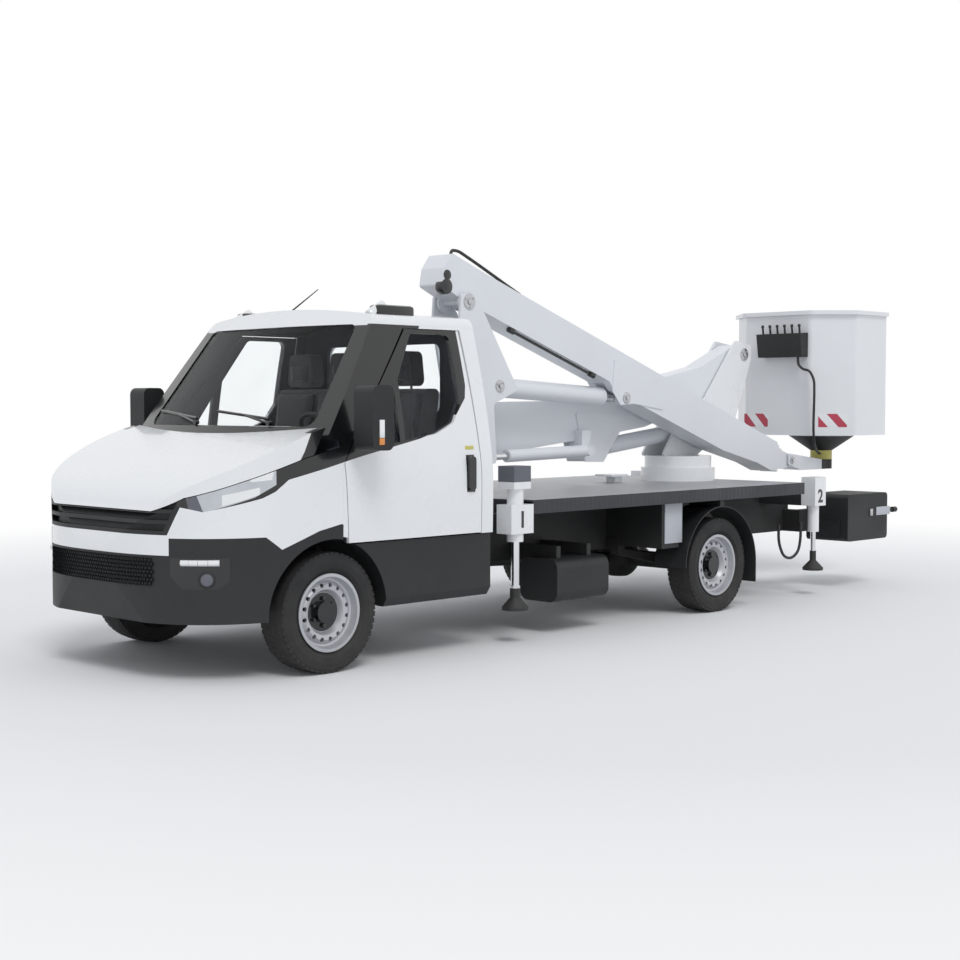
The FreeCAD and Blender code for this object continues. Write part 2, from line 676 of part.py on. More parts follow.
def make_chassis():
    """Makes the ladder frame with the sub-frame, its cross members and the beams that carry the stabilisers."""
    pieces = []
    for side in (-1, 1):
        low_x = min(side * rail_inner_x, side * rail_outer_x)
        width = rail_outer_x - rail_inner_x
        pieces.append(box(low_x, low_x + width, rail_front_y, rail_rear_y, rail_low_z, rail_top_z))
        pieces.append(box(low_x, low_x + width, front_beam_y, rail_rear_y, rail_top_z, deck_low_z))
    for share in cross_places_shares:
        y = back(wheelbase * share)
        pieces.append(box(-rail_inner_x - rail_wall, rail_inner_x + rail_wall, y - cross_width / 2,
                          y + cross_width / 2, rail_low_z + cross_width, rail_top_z - rail_wall))
    for y, length, reach in ((front_beam_y, front_beam_length, front_leg_x), (rear_beam_y, rear_beam_length, rear_leg_x)):
        pieces.append(box(-reach + housing_half, reach - housing_half, y, y + length, beam_low_z, deck_low_z))
    for y in (back(wheelbase * 0.12), cab_back_y - cross_width):
        for side in (-1, 1):
            middle = side * (rail_inner_x + rail_outer_x) / 2
            pieces.append(rod(vec(middle, y, rail_top_z - rail_wall), vec(middle, y, cab_floor_z), cab_mount_radius))
    pieces.append(box(-rail_inner_x, rail_inner_x, rail_front_y - cross_width, rail_front_y + cross_width,
                      rail_low_z, rail_top_z))
    for y in (tank_front_y + tank_corner, tank_rear_y - tank_corner - cross_width):
        pieces.append(box(rail_outer_x - rail_wall, tank_x + tank_half - tank_corner, y, y + cross_width / 2,
                          tank_top_z, tank_top_z + cross_width))
    pieces.append(cut(box(rail_outer_x - rail_wall, bracket_face_x, bracket_front_y, bracket_rear_y,
                          bracket_low_z, deck_low_z),
                      box(rail_outer_x, bracket_face_x - rail_wall, bracket_front_y + rail_wall,
                          bracket_rear_y + cut_over, bracket_low_z - cut_over, deck_low_z + cut_over)))
    for y in (bracket_front_y, bracket_rear_y - rail_wall):
        pieces.append(box(-bracket_face_x, -rail_outer_x + rail_wall, y, y + rail_wall, bracket_low_z, deck_low_z))
    pieces.append(box(-rail_outer_x, box_inner_x + cross_width, rail_rear_y - cross_width, rail_rear_y,
                      rail_low_z, rail_top_z))
    pieces.append(box(box_inner_x, box_inner_x + cross_width, rail_rear_y - cross_width, box_front_y,
                      rail_low_z, rail_top_z))
    for side in (-1, 1):
        for y in (back(0) - spring_reach, back(0) + spring_reach, back(wheelbase) - spring_reach,
                  back(wheelbase) + spring_reach):
            low_x = min(side * (rail_outer_x - rail_wall), side * (spring_x + spring_width / 2))
            width = spring_x + spring_width / 2 - rail_outer_x + rail_wall
            pieces.append(box(low_x, low_x + width, y - cross_width / 2, y + cross_width / 2,
                              rail_low_z, rail_low_z + cross_width))
    return fuse(pieces)


def spring_pair(axle_y, axle_z, top_z):
    """Makes the two leaf springs over an axle, hung below the frame's brackets."""
    dip = axle_z + spring_thick
    pieces = []
    for side in (-1, 1):
        x_low = side * spring_x - spring_width / 2
        points = [(axle_y - spring_reach - spring_thick, top_z), (axle_y - spring_reach + spring_thick, top_z),
                  (axle_y - spring_reach * 0.3, dip + spring_thick), (axle_y + spring_reach * 0.3, dip + spring_thick),
                  (axle_y + spring_reach - spring_thick, top_z), (axle_y + spring_reach + spring_thick, top_z),
                  (axle_y + spring_reach + spring_thick, top_z - spring_thick),
                  (axle_y + spring_reach * 0.3, dip - spring_thick), (axle_y - spring_reach * 0.3, dip - spring_thick),
                  (axle_y - spring_reach - spring_thick, top_z - spring_thick)]
        pieces.append(prism_yz(points, x_low, x_low + spring_width))
    return pieces


def make_front_axle():
    """Makes the front axle beam with its springs and kingpin forks."""
    z = tyre_radius
    reach = kingpin_x - hub_radius
    beam = rod(vec(-reach, back(0), z), vec(reach, back(0), z), axle_beam_radius)
    pieces = [beam] + spring_pair(back(0), z, rail_low_z)
    for side in (-1, 1):
        x = side * kingpin_x
        for low in (z - hub_radius * 1.55, z + hub_radius * 1.05):
            pieces.append(cylinder(vec(x, back(0), low + hub_radius * 0.25), vec(0, 0, 1), kingpin_radius * 1.6,
                                   hub_radius * 0.5))
            inner = side * (reach - axle_beam_radius)
            pieces.append(box(min(x, inner), max(x, inner), back(0) - kingpin_radius, back(0) + kingpin_radius,
                              low, low + hub_radius * 0.5))
        inner = side * (reach - axle_beam_radius)
        post = side * (reach - axle_beam_radius * 0.2)
        pieces.append(box(min(post, inner), max(post, inner), back(0) - axle_beam_radius, back(0) + axle_beam_radius,
                          z - hub_radius * 1.6, z + hub_radius * 1.6))
    return fuse(pieces)


def make_knuckle():
    """Makes the left steering knuckle: upright block, stub axle and steering arm."""
    z = tyre_radius
    block = cylinder(vec(kingpin_x, back(0), z), vec(0, 0, 1), kingpin_radius * 1.7,
                     hub_radius * 2.1 - touch_gap * 2)
    stub = rod(vec(kingpin_x, back(0), z), vec(track_front_x + tyre_width * 0.12, back(0), z), hub_radius * 0.5)
    arm_end = vec(kingpin_x - hub_radius * 0.3, back(0) + wheelbase * 0.04, z)
    arm = rod(vec(kingpin_x, back(0), z), arm_end, kingpin_radius * 0.7)
    return fuse([block, stub, arm])


def make_rear_axle():
    """Makes the rear axle: tube, differential, springs and the drive shaft from the gearbox."""
    z = tyre_radius
    y = back(wheelbase)
    reach = track_rear_x + tyre_width * 0.12
    tube = rod(vec(-reach, y, z), vec(reach, y, z), hub_radius * 0.5)
    wide = rod(vec(-sill_inner_x + tyre_width * 0.1, y, z), vec(sill_inner_x - tyre_width * 0.1, y, z),
               rear_tube_radius)
    ball = Part.makeSphere(diff_radius, vec(0, y, z))
    ball = common(ball, box(-diff_radius, diff_radius, y - diff_radius, y + diff_radius, z - diff_radius * 0.9,
                            z + diff_radius * 0.9))
    shaft = rod(vec(0, y, z), vec(0, gearbox_rear_y + shaft_radius * 0.3, (engine_low_z + rail_low_z) / 2),
                shaft_radius)
    return fuse([tube, wide, ball, shaft] + spring_pair(y, z, rail_low_z))


def make_engine():
    """Makes the engine and gearbox as one plain block."""
    block = box(-engine_half, engine_half, engine_front_y, engine_rear_y, engine_low_z, engine_top_z)
    box_low = engine_low_z - gearbox_half * 0.6
    gearbox = box(-gearbox_half, gearbox_half, engine_rear_y - cut_over, gearbox_rear_y, box_low,
                  rail_top_z - rail_wall * 2)
    foot = box(-rail_inner_x, rail_inner_x, engine_rear_y - cross_width * 2, engine_rear_y - cross_width,
               rail_low_z + rail_wall * 2, rail_low_z + cross_width)
    return fuse([block, gearbox, foot])


def tyre_profile():
    """Gives the tyre's half section as width and radius: bead, side wall, shoulder and tread."""
    half = tyre_width / 2
    depth = tyre_radius - rim_radius
    bead = rim_radius + rim_flange
    return [(-half * 0.775, rim_radius), (-half * 0.775, bead), (-half * 0.97, rim_radius + depth * 0.28),
            (-half, rim_radius + depth * 0.55), (-half * 0.93, rim_radius + depth * 0.82),
            (-half * 0.80, rim_radius + depth * 0.96), (-half * 0.5, tyre_radius), (half * 0.5, tyre_radius),
            (half * 0.80, rim_radius + depth * 0.96), (half * 0.93, rim_radius + depth * 0.82),
            (half, rim_radius + depth * 0.55), (half * 0.97, rim_radius + depth * 0.28), (half * 0.775, bead),
            (half * 0.775, rim_radius)]


def revolve_wheel(profile, x, y):
    """Turns a section of width and radius about a wheel's axle."""
    points = [vec(x + across, y, tyre_radius + up) for across, up in profile]
    edges = [Part.makeLine(points[index - 1], points[index]) for index in range(len(points))]
    return Part.Face(Part.Wire(edges)).revolve(vec(x, y, tyre_radius), vec(1, 0, 0), 360)


def make_tyre(x, y):
    """Makes a tyre on the left side."""
    return revolve_wheel(tyre_profile(), x, y)


def make_rim(x, y):
    """Makes a steel rim on the left side, with its well, dished disc, hub cap and vent holes."""
    half = tyre_width / 2
    well = rim_radius - rim_flange * 3.0
    edge = rim_radius - touch_gap
    lip = rim_radius + rim_flange * 0.5
    profile = [(-half * 0.88, lip), (-half * 0.81, lip), (-half * 0.79, edge), (-half * 0.4, edge),
               (half * 0.4, edge), (half * 0.79, edge), (half * 0.81, lip), (half * 0.88, lip),
               (half * 0.88, edge - rim_flange), (half * 0.5, edge - rim_flange * 2), (half * 0.45, well),
               (half * 0.62, rim_radius * 0.72), (half * 0.55, rim_radius * 0.60), (half * 0.30, rim_radius * 0.52),
               (half * 0.30, hub_radius * 0.5 + touch_gap), (half * 0.12, hub_radius * 0.5 + touch_gap),
               (half * 0.12, rim_radius * 0.54), (half * 0.40, rim_radius * 0.62), (half * 0.48, rim_radius * 0.72),
               (half * 0.30, well - rim_flange * 0.4), (-half * 0.5, well - rim_flange * 0.4),
               (-half * 0.88, edge - rim_flange)]
    disc = revolve_wheel(profile, x, y)
    holes = []
    for index in range(vent_count):
        angle = 2 * math.pi * (index + 0.5) / vent_count
        up = vec(0, math.sin(angle), math.cos(angle)) * (rim_radius * 0.72)
        holes.append(cylinder(vec(x + half * 0.5, y, tyre_radius) + up, vec(1, 0, 0), vent_radius, tyre_width * 0.3))
    nave = cylinder(vec(x + half * 0.42, y, tyre_radius), vec(1, 0, 0), hub_radius, half * 0.34)
    return fuse([cut(disc, holes), nave])


def make_mudguards():
    """Makes the four arcs: rear mudguards with flaps, and the liners of the front arches."""
    y = back(wheelbase)
    guards = []
    outer = cylinder(vec((guard_low_x + guard_high_x) / 2, y, tyre_radius), vec(1, 0, 0), guard_radius,
                     guard_high_x - guard_low_x)
    inner = cylinder(vec((guard_low_x + guard_high_x) / 2, y, tyre_radius), vec(1, 0, 0),
                     guard_radius - guard_thick, guard_high_x - guard_low_x + cut_over)
    top = box(0, body_width, y - guard_radius, y + guard_radius, tyre_radius + guard_thick, deck_low_z)
    arc = common(cut(outer, inner), top)
    flap = box(guard_low_x, guard_high_x, y + guard_radius - guard_thick, y + guard_radius, flap_low_z,
               tyre_radius + guard_thick * 2)
    hanger = box(guard_low_x, guard_high_x, y - guard_thick * 3, y + guard_thick * 3,
                 tyre_radius + guard_radius - guard_thick, deck_low_z)
    guards.append(fuse([arc, flap, hanger]))
    middle = (liner_low_x + liner_high_x) / 2
    shell = cut(cylinder(vec(middle, back(0), tyre_radius), vec(1, 0, 0), liner_radius + guard_thick,
                         liner_high_x - liner_low_x),
                cylinder(vec(middle, back(0), tyre_radius), vec(1, 0, 0), liner_radius,
                         liner_high_x - liner_low_x + cut_over))
    liner = common(shell, box(0, body_width, back(-liner_radius * 1.1), back(liner_radius * 0.93),
                              tyre_radius + guard_thick * 2, cab_floor_z + cab_wall * 4))
    stay = box(rail_outer_x, liner_low_x + guard_thick, back(liner_radius * 0.55), back(liner_radius * 0.65),
               rail_top_z - cross_width, rail_top_z + cross_width * 0.7)
    guards.append(fuse([liner, stay]))
    return Part.makeCompound([shape for left in guards for shape in (left, mirrored(left))])


# Deck, stabilisers, tool box and slewing ring
front_leg_x = 930.0
front_leg_y = back(1575.0)
rear_leg_x = 880.0
rear_leg_y = back(5140.0)
housing_half = 65.0
front_leg_radius = 27.5
front_collar_radius = 54.0
front_foot_radius = 86.0
front_foot_z = 218.0
rear_leg_radius = 20.5
rear_sleeve_radius = 45.0
rear_foot_radius = 82.0
rear_foot_z = 204.0
foot_height = 80.0
front_housing_low_z = 713.0
front_housing_top_z = 900.0
front_sleeve_top_z = 1000.0
cap_top_z = 1147.0
cap_half = 78.0
front_sleeve_low_z = 660.0
rear_housing_top_z = 955.0
rear_sleeve_low_z = 515.0
leg_play = 1.0
box_inner_x = 500.0
box_outer_x = 900.0
box_front_y = back(5630.0)
box_rear_y = back(6260.0)
box_low_z = 400.0
box_top_z = 790.0
box_corner = 35.0
box_plate = 8.0
lamp_arm_x = 690.0
lamp_arm_rear_y = back(6760.0)
lamp_arm_z = 610.0
lamp_arm_radius = 14.0
lamp_plate_z = 450.0
slew_y = back(4500.0)
ring_radius = 300.0
ring_top_z = 1030.0
disc_radius = 270.0
disc_top_z = 1125.0
ring_bore = 120.0
cradle_y = back(3830.0)
cradle_top_z = 990.0
cradle_half = 130.0
hose_radius = 13.0


def make_deck():
    """Makes the flat deck: a sheet with folded edges and ribs below it."""
    solid = box(-half_width, half_width, deck_front_y, deck_rear_y, deck_low_z, deck_top_z)
    inner = box(-half_width + deck_sheet, half_width - deck_sheet, deck_front_y + deck_sheet,
                deck_rear_y - deck_sheet, deck_low_z - cut_over, deck_top_z - deck_sheet)
    pieces = [cut(solid, inner)]
    pitch = (deck_rear_y - deck_front_y) / 8
    for index in range(1, 8):
        y = deck_front_y + pitch * index
        pieces.append(box(-half_width + deck_sheet / 2, half_width - deck_sheet / 2, y - deck_sheet / 2,
                          y + deck_sheet / 2, deck_low_z, deck_top_z - deck_sheet / 2))
    deck = fuse(pieces)
    notch = box(front_leg_x - housing_half - touch_gap, body_width, deck_front_y - cut_over,
                front_leg_y + housing_half + cap_half / 2 + touch_gap, 0, cab_height)
    return cut(deck, [notch, mirrored(notch)])


def make_front_housing():
    """Makes the left front stabiliser's housing, guide and grey cap."""
    rear = front_leg_y + housing_half + cap_half / 2
    body = box(front_leg_x - housing_half, half_width, front_leg_y - housing_half - cap_half / 2, rear,
               front_housing_low_z, front_housing_top_z)
    sleeve = rod(vec(front_leg_x, front_leg_y, front_sleeve_low_z), vec(front_leg_x, front_leg_y, front_sleeve_top_z),
                 front_collar_radius)
    cap = box(front_leg_x - cap_half, half_width, front_leg_y - cap_half, front_leg_y + cap_half,
              front_sleeve_top_z - touch_gap, cap_top_z)
    bore = rod(vec(front_leg_x, front_leg_y, 0), vec(front_leg_x, front_leg_y, cap_top_z - deck_sheet),
               front_leg_radius + leg_play)
    return cut(fuse([body, sleeve, cap]), bore)


def make_rear_housing():
    """Makes the left rear stabiliser's housing with its outer tube."""
    body = box(rear_leg_x - housing_half, rear_leg_x + housing_half, rear_leg_y - housing_half * 1.2,
               rear_leg_y + housing_half * 1.2, beam_low_z, rear_housing_top_z)
    sleeve = rod(vec(rear_leg_x, rear_leg_y, rear_sleeve_low_z), vec(rear_leg_x, rear_leg_y, rear_housing_top_z),
                 rear_sleeve_radius)
    bore = rod(vec(rear_leg_x, rear_leg_y, 0), vec(rear_leg_x, rear_leg_y, rear_housing_top_z - deck_sheet),
               rear_leg_radius + leg_play)
    return cut(fuse([body, sleeve]), bore)


def make_leg(x, y, radius, foot_radius, foot_z, top_z):
    """Makes one stabiliser leg: rod, ball neck and foot plate."""
    foot_top = foot_z + foot_height
    cone = Part.makeCone(foot_radius, radius * 1.2, foot_height * 0.75, vec(x, y, foot_z + foot_height * 0.25))
    base = rod(vec(x, y, foot_z), vec(x, y, foot_z + foot_height * 0.25), foot_radius)
    neck = rod(vec(x, y, foot_top - foot_height * 0.1), vec(x, y, foot_top + foot_height), radius * 1.25)
    bar = rod(vec(x, y, foot_z + foot_height / 2), vec(x, y, top_z), radius)
    return fuse([cone, base, neck, bar])


def make_tank():
    """Makes the black side tank."""
    return prism_xz([(tank_x - tank_half, tank_low_z), (tank_x + tank_half, tank_low_z),
                     (tank_x + tank_half, tank_top_z), (tank_x - tank_half, tank_top_z)],
                    tank_front_y, tank_rear_y, tank_corner)


def make_tool_box():
    """Makes the black tool box with the plate on its front, and the lamp bracket behind it."""
    body = prism_yz([(box_front_y, box_low_z), (box_rear_y, box_low_z), (box_rear_y, box_top_z),
                     (box_front_y, box_top_z)], box_inner_x, box_outer_x, box_corner)
    plate_piece = box(box_outer_x - box_corner * 8, box_outer_x - box_corner * 2, box_front_y - box_plate,
                      box_front_y + box_plate, box_low_z + box_corner, box_low_z + box_corner * 5)
    length = lamp_arm_rear_y - box_rear_y
    arm = rod(vec(lamp_arm_x, box_rear_y - box_plate, lamp_arm_z), vec(lamp_arm_x, lamp_arm_rear_y, lamp_arm_z),
              lamp_arm_radius)
    knob = rod(vec(lamp_arm_x, lamp_arm_rear_y - length * 0.12, lamp_arm_z),
               vec(lamp_arm_x, lamp_arm_rear_y, lamp_arm_z), lamp_arm_radius * 1.7)
    bracket = box(lamp_arm_x - lamp_arm_radius * 2, lamp_arm_x + lamp_arm_radius * 2, box_rear_y - box_plate,
                  box_rear_y + length * 0.34, lamp_plate_z + lamp_arm_radius * 4, lamp_arm_z + lamp_arm_radius * 2)
    lamp = rod(vec(lamp_arm_x, box_rear_y + length * 0.26, lamp_plate_z),
               vec(lamp_arm_x, box_rear_y + length * 0.26, lamp_plate_z + lamp_arm_radius * 5), lamp_arm_radius * 1.8)
    return fuse([body, plate_piece, arm, knob, bracket, lamp])


def make_slew_ring():
    """Makes the fixed slewing ring and the boom rest on the deck."""
    ring = rod(vec(0, slew_y, deck_top_z), vec(0, slew_y, ring_top_z), ring_radius)
    ring = cut(ring, rod(vec(0, slew_y, deck_top_z - cut_over), vec(0, slew_y, ring_top_z + cut_over), ring_bore))
    post = cradle_half / 3
    rest = box(lower_x - post, lower_x + post, cradle_y - post, cradle_y + post, deck_top_z, cradle_top_z - sheet)
    saddle = box(lower_x - post * 2, lower_x + post * 2, cradle_y - cradle_half, cradle_y + cradle_half / 2,
                 cradle_top_z - sheet * 2, cradle_top_z)
    return Part.makeCompound([ring, fuse([rest, saddle])])


# Aerial device: side view outlines and pins as shares of the wheelbase and of the aerial device's height
aerial_height = 2350.0
pin_shares = ((1.44533, 0.83617), (0.52, 0.60426), (0.48, 0.95106), (0.92533, 0.50426), (1.29333, 0.57106),
              (0.87733, 0.50638), (0.52, 0.49362), (0.56, 0.70936), (0.936, 0.67617), (1.54667, 0.45106))
lower_boom_shares = ((0.5, 0.6383), (0.64, 0.66255), (0.82667, 0.66638), (1.08, 0.72426),
                     (1.29333, 0.78723), (1.42133, 0.87021), (1.464, 0.85106), (1.45867, 0.80426),
                     (1.38667, 0.73191), (1.26667, 0.65106), (1.09333, 0.57872), (0.88, 0.53957),
                     (0.64, 0.50213), (0.52267, 0.54894), (0.5, 0.58298))
lift_gusset_shares = ((0.86933, 0.63064), (0.89867, 0.46809), (0.95733, 0.46553), (1.04, 0.62128))
turret_shares = ((1.14667, 0.4766), (1.26933, 0.4766), (1.41333, 0.60426), (1.472, 0.82128),
                 (1.472, 0.87234), (1.41333, 0.88511), (1.30133, 0.68085), (1.18667, 0.5617))
elbow_shares = ((0.46, 0.97447), (0.496, 0.97447), (0.52107, 0.91574), (0.60933, 0.6983), (0.544, 0.6566),
                (0.552, 0.48085), (0.49867, 0.48085), (0.49067, 0.6383), (0.456, 0.89362))
elbow_side_shares = ((0.49333, 0.69149), (0.54533, 0.69149), (0.54933, 0.53191), (0.49867, 0.53191))
turret_web_shares = ((1.33867, 0.52553), (1.416, 0.60638), (1.42133, 0.62553), (1.416, 0.62979),
                     (1.33467, 0.53702))
elbow_web_shares = ((0.4896, 0.65106), (0.47253, 0.77447), (0.48, 0.77702), (0.49707, 0.65362))
elbow_low_web_shares = ((0.50027, 0.48298), (0.4976, 0.53191), (0.50293, 0.53191), (0.5056, 0.48298))
elbow_shelf_shares = ((0.49733, 0.67021), (0.53867, 0.67021), (0.53867, 0.68383), (0.49733, 0.68383))
raise_gusset_shares = ((0.89867, 0.80426), (0.892, 0.69787), (0.91733, 0.65319), (0.96, 0.65745),
                       (1.056, 0.6383), (1.064, 0.66383), (0.94933, 0.77872))
boom_run_share = 1.006635
boom_drop_share = 0.549970
lower_x = -117.5
lower_half = 85.0
upper_x = 150.0
upper_half = 110.0
plate_gap = 10.0
boom_wall = 8.0
pin_radius = 24.0
boss_radius = 75.0
plate_thick = 20.0
lift_barrel_radius = 65.0
lift_rod_radius = 38.0
raise_barrel_radius = 70.0
raise_rod_radius = 40.0
level_barrel_radius = 45.0
level_rod_radius = 24.0
level_x = 75.0
eye_width = 60.0
eye_gap = 0.3
stub_length = 12.0
boom_top_v = 252.0
boom_bottom_v = -2.0
boom_deep_v = -51.0
stage_step = 13.0
pad_length = 160.0
ear_half = 60.0
ear_thick = 14.0
rotator_low_z = 968.0
rotator_top_z = 1052.0
band_high_z = 1130.0
rotator_radius = 95.0
bracket_half = 90.0
basket_low_z = 1270.0
basket_top_z = 2350.0
basket_left_x = 600.0
basket_right_x = -640.0
basket_rim = 22.0
basket_rear_y = back(wheelbase + rear_overhang - basket_rim)
basket_chamfer = 290.0
basket_corner = 60.0
basket_wall = 14.0
basket_rim_height = 34.0
cone_radius = 300.0
control_left_x = 290.0
control_right_x = -160.0
control_low_z = 1950.0
control_top_z = 2160.0
control_depth = 125.0
lever_count = 6
lever_height = 60.0
lever_radius = 9.0
hose_radius = 11.0
stabiliser_hose_shares = ((0.90955, 1.22933, 0.25532), (0.90955, 1.22933, 0.19574),
                          (0.90955, 1.24800, 0.14681), (0.90955, 1.27733, 0.13617),
                          (0.90955, 1.30400, 0.15745), (0.90955, 1.31200, 0.20000),
                          (0.90955, 1.31200, 0.25532))
boom_hose_shares = ((0.21608, 0.45202, 1.08339), (0.21608, 0.45498, 1.09787), (0.21608, 0.47189, 1.09718),
                    (0.21608, 0.51139, 1.07110), (0.21608, 0.55551, 1.04025), (0.21608, 0.59954, 1.00900),
                    (0.21608, 0.63394, 0.98543))
basket_hose_shares = ((0.23116, 1.57067, 0.82953), (0.23317, 1.57067, 0.80213),
                      (0.27638, 1.57093, 0.78511), (0.34673, 1.57280, 0.77872),
                      (0.38995, 1.57413, 0.74468), (0.39397, 1.57333, 0.68936),
                      (0.38794, 1.57467, 0.62979), (0.38593, 1.57413, 0.57021),
                      (0.36985, 1.58400, 0.51702), (0.31156, 1.61600, 0.48936),
                      (0.23719, 1.65600, 0.47660), (0.19176, 1.68272, 0.46979))
head_shares = ((-0.06266, 0.00501), (-0.06767, 0.03484), (-0.05764, 0.06516))
deep_shares = (0.40100, 0.42105, 0.78947, 0.91479)
stage_end_shares = (0.97243, 0.98496)
stage_start_share = 0.03008
rotator_share = 1.70667
basket_front_share = 1.58667
lift_barrel_share = 0.82000
raise_barrel_share = 0.87809
level_barrel_share = 0.67147
rod_inset = 120.0
level_inset = 500.0


def side_points(shares):
    """Turns shares of the wheelbase and of the aerial device's height into side view points."""
    return [(back(wheelbase * along), aerial_height * up) for along, up in shares]


(lower_pivot, elbow_low, elbow_high, lift_boom_pin, lift_turret_pin, level_boom_pin, level_elbow_pin,
 raise_elbow_pin, raise_boom_pin, tip_pin) = side_points(pin_shares)
lower_boom_points = side_points(lower_boom_shares)
lift_gusset_points = side_points(lift_gusset_shares)
boom_run = wheelbase * boom_run_share
boom_drop = aerial_height * boom_drop_share
boom_slope = math.atan2(boom_drop, boom_run)
boom_length = math.hypot(boom_run, boom_drop)
stage_start = boom_length * stage_start_share
stage_one_end = boom_length * stage_end_shares[0]
stage_two_end = boom_length * stage_end_shares[1]
stage_three_end = boom_length
rotator_y = back(wheelbase * rotator_share)
basket_front_y = back(wheelbase * basket_front_share)


def disc_at(point, x_low, x_high, radius):
    """Makes a round boss or pin across the vehicle at a side view point."""
    return rod(vec(x_low, point[0], point[1]), vec(x_high, point[0], point[1]), radius)


def boom_point(u, v):
    """Turns a place along and across the upper boom into the vehicle's side view."""
    y = elbow_high[0] + u * math.cos(boom_slope) + v * math.sin(boom_slope)
    z = elbow_high[1] - u * math.sin(boom_slope) + v * math.cos(boom_slope)
    return y, z


def boom_prism(corners, x_low, x_high, radius=0.0):
    """Extrudes an outline given along and across the upper boom."""
    return prism_yz([boom_point(*corner) for corner in corners], x_low, x_high, radius)


def boom_tube(u_low, u_high, step, wall):
    """Makes one telescoping box section of the upper boom, moved in by a step."""
    half = upper_half - step
    low = boom_bottom_v + step
    high = boom_top_v - step
    corners = [(u_low, low), (u_high, low), (u_high, high), (u_low, high)]
    hollow = [(u_low - cut_over, low + wall), (u_high + cut_over, low + wall), (u_high + cut_over, high - wall),
              (u_low - cut_over, high - wall)]
    return cut(boom_prism(corners, upper_x - half, upper_x + half),
               boom_prism(hollow, upper_x - half + wall, upper_x + half - wall))


def make_turret():
    """Makes the turret: slewing disc, two side plates, web, pivot pin and lift cylinder lugs."""
    inner = lower_half + plate_gap
    pieces = [rod(vec(0, slew_y, ring_top_z + touch_gap), vec(0, slew_y, disc_top_z), disc_radius)]
    for low in (lower_x - inner - plate_thick, lower_x + inner):
        pieces.append(prism_yz(side_points(turret_shares), low, low + plate_thick, plate_thick))
    pieces.append(disc_at(lower_pivot, lower_x - inner - plate_thick, lower_x + inner + plate_thick, pin_radius))
    pieces.append(prism_yz(side_points(turret_web_shares), lower_x - inner, lower_x + inner))
    for side in (-1, 1):
        near = lower_x + side * (eye_width / 2 + eye_gap)
        far = lower_x + side * inner
        pieces.append(disc_at(lift_turret_pin, min(near, far), max(near, far), pin_radius * 1.6))
    pieces.append(disc_at(lift_turret_pin, lower_x - inner, lower_x + inner, pin_radius))
    return fuse(pieces)


def eye_room(pin, corners, x, rod_radius):
    """Makes the free space around a rod's eye: as wide as the eye near the pin, as wide as the rod beyond."""
    half = rod_radius + turn_gap * 2.5
    wide = cut(prism_yz(corners, x - half, x + half), disc_at(pin, x - half * 2, x + half * 2, pin_radius * 1.6))
    slot = eye_width / 2 + eye_gap
    return fuse([wide, prism_yz(corners, x - slot, x + slot)])


def make_lower_boom():
    """Makes the lower boom with its gusset, pivot bores and cylinder lugs."""
    body = prism_yz(lower_boom_points, lower_x - lower_half, lower_x + lower_half, plate_thick)
    pieces = [body]
    for low in (lower_x - lower_half - sheet, lower_x + lower_half - touch_gap):
        pieces.append(prism_yz(lift_gusset_points, low, low + sheet + touch_gap, plate_thick))
    gusset_low = prism_yz([(lift_gusset_points[1][0], lift_gusset_points[1][1] + plate_thick),
                           (lift_gusset_points[1][0] - sheet, lower_boom_points[11][1] + plate_thick),
                           (lift_gusset_points[2][0] + sheet * 8, lower_boom_points[11][1] + plate_thick * 3),
                           (lift_gusset_points[2][0], lift_gusset_points[1][1] + plate_thick)],
                          lower_x - lower_half, lower_x + lower_half)
    corners = [(lift_boom_pin[0] - pin_radius * 3, 0), (lift_boom_pin[0] + boss_radius * 6, 0),
               (lift_boom_pin[0] + boss_radius * 6, lift_boom_pin[1] + pin_radius * 3.6),
               (lift_boom_pin[0] + boss_radius, lift_boom_pin[1] + pin_radius * 2.2),
               (lift_boom_pin[0] - pin_radius * 3, lift_boom_pin[1] + pin_radius * 2.2)]
    room = eye_room(lift_boom_pin, corners, lower_x, lift_rod_radius)
    pieces.append(cut(gusset_low, room))
    left = lower_x + lower_half
    arm_low = min(level_boom_pin[1], lower_boom_points[11][1])
    block = prism_yz([(level_boom_pin[0] - pin_radius * 1.5, level_boom_pin[1] - pin_radius * 1.5),
                      (level_boom_pin[0] + pin_radius * 1.5, arm_low - pin_radius * 1.5),
                      (level_boom_pin[0] + pin_radius * 3, lower_boom_points[11][1] + boss_radius),
                      (level_boom_pin[0] - pin_radius * 1.5, lower_boom_points[11][1] + boss_radius)],
                     left - touch_gap, level_x - eye_width / 2 - eye_gap)
    pieces.append(block)
    pieces.append(disc_at(level_boom_pin, level_x - eye_width / 2 - eye_gap * 2, level_x + eye_width / 2, pin_radius * 0.8))
    for point in (lower_pivot, elbow_low):
        pieces.append(disc_at(point, lower_x - lower_half - sheet * 0.9, lower_x + lower_half + sheet * 0.9, boss_radius * 0.7))
    boom = fuse(pieces)
    return cut(boom, [disc_at(point, lower_x - lower_half * 2, lower_x + lower_half * 1.5, pin_radius + touch_gap)
                      for point in (lower_pivot, elbow_low)])


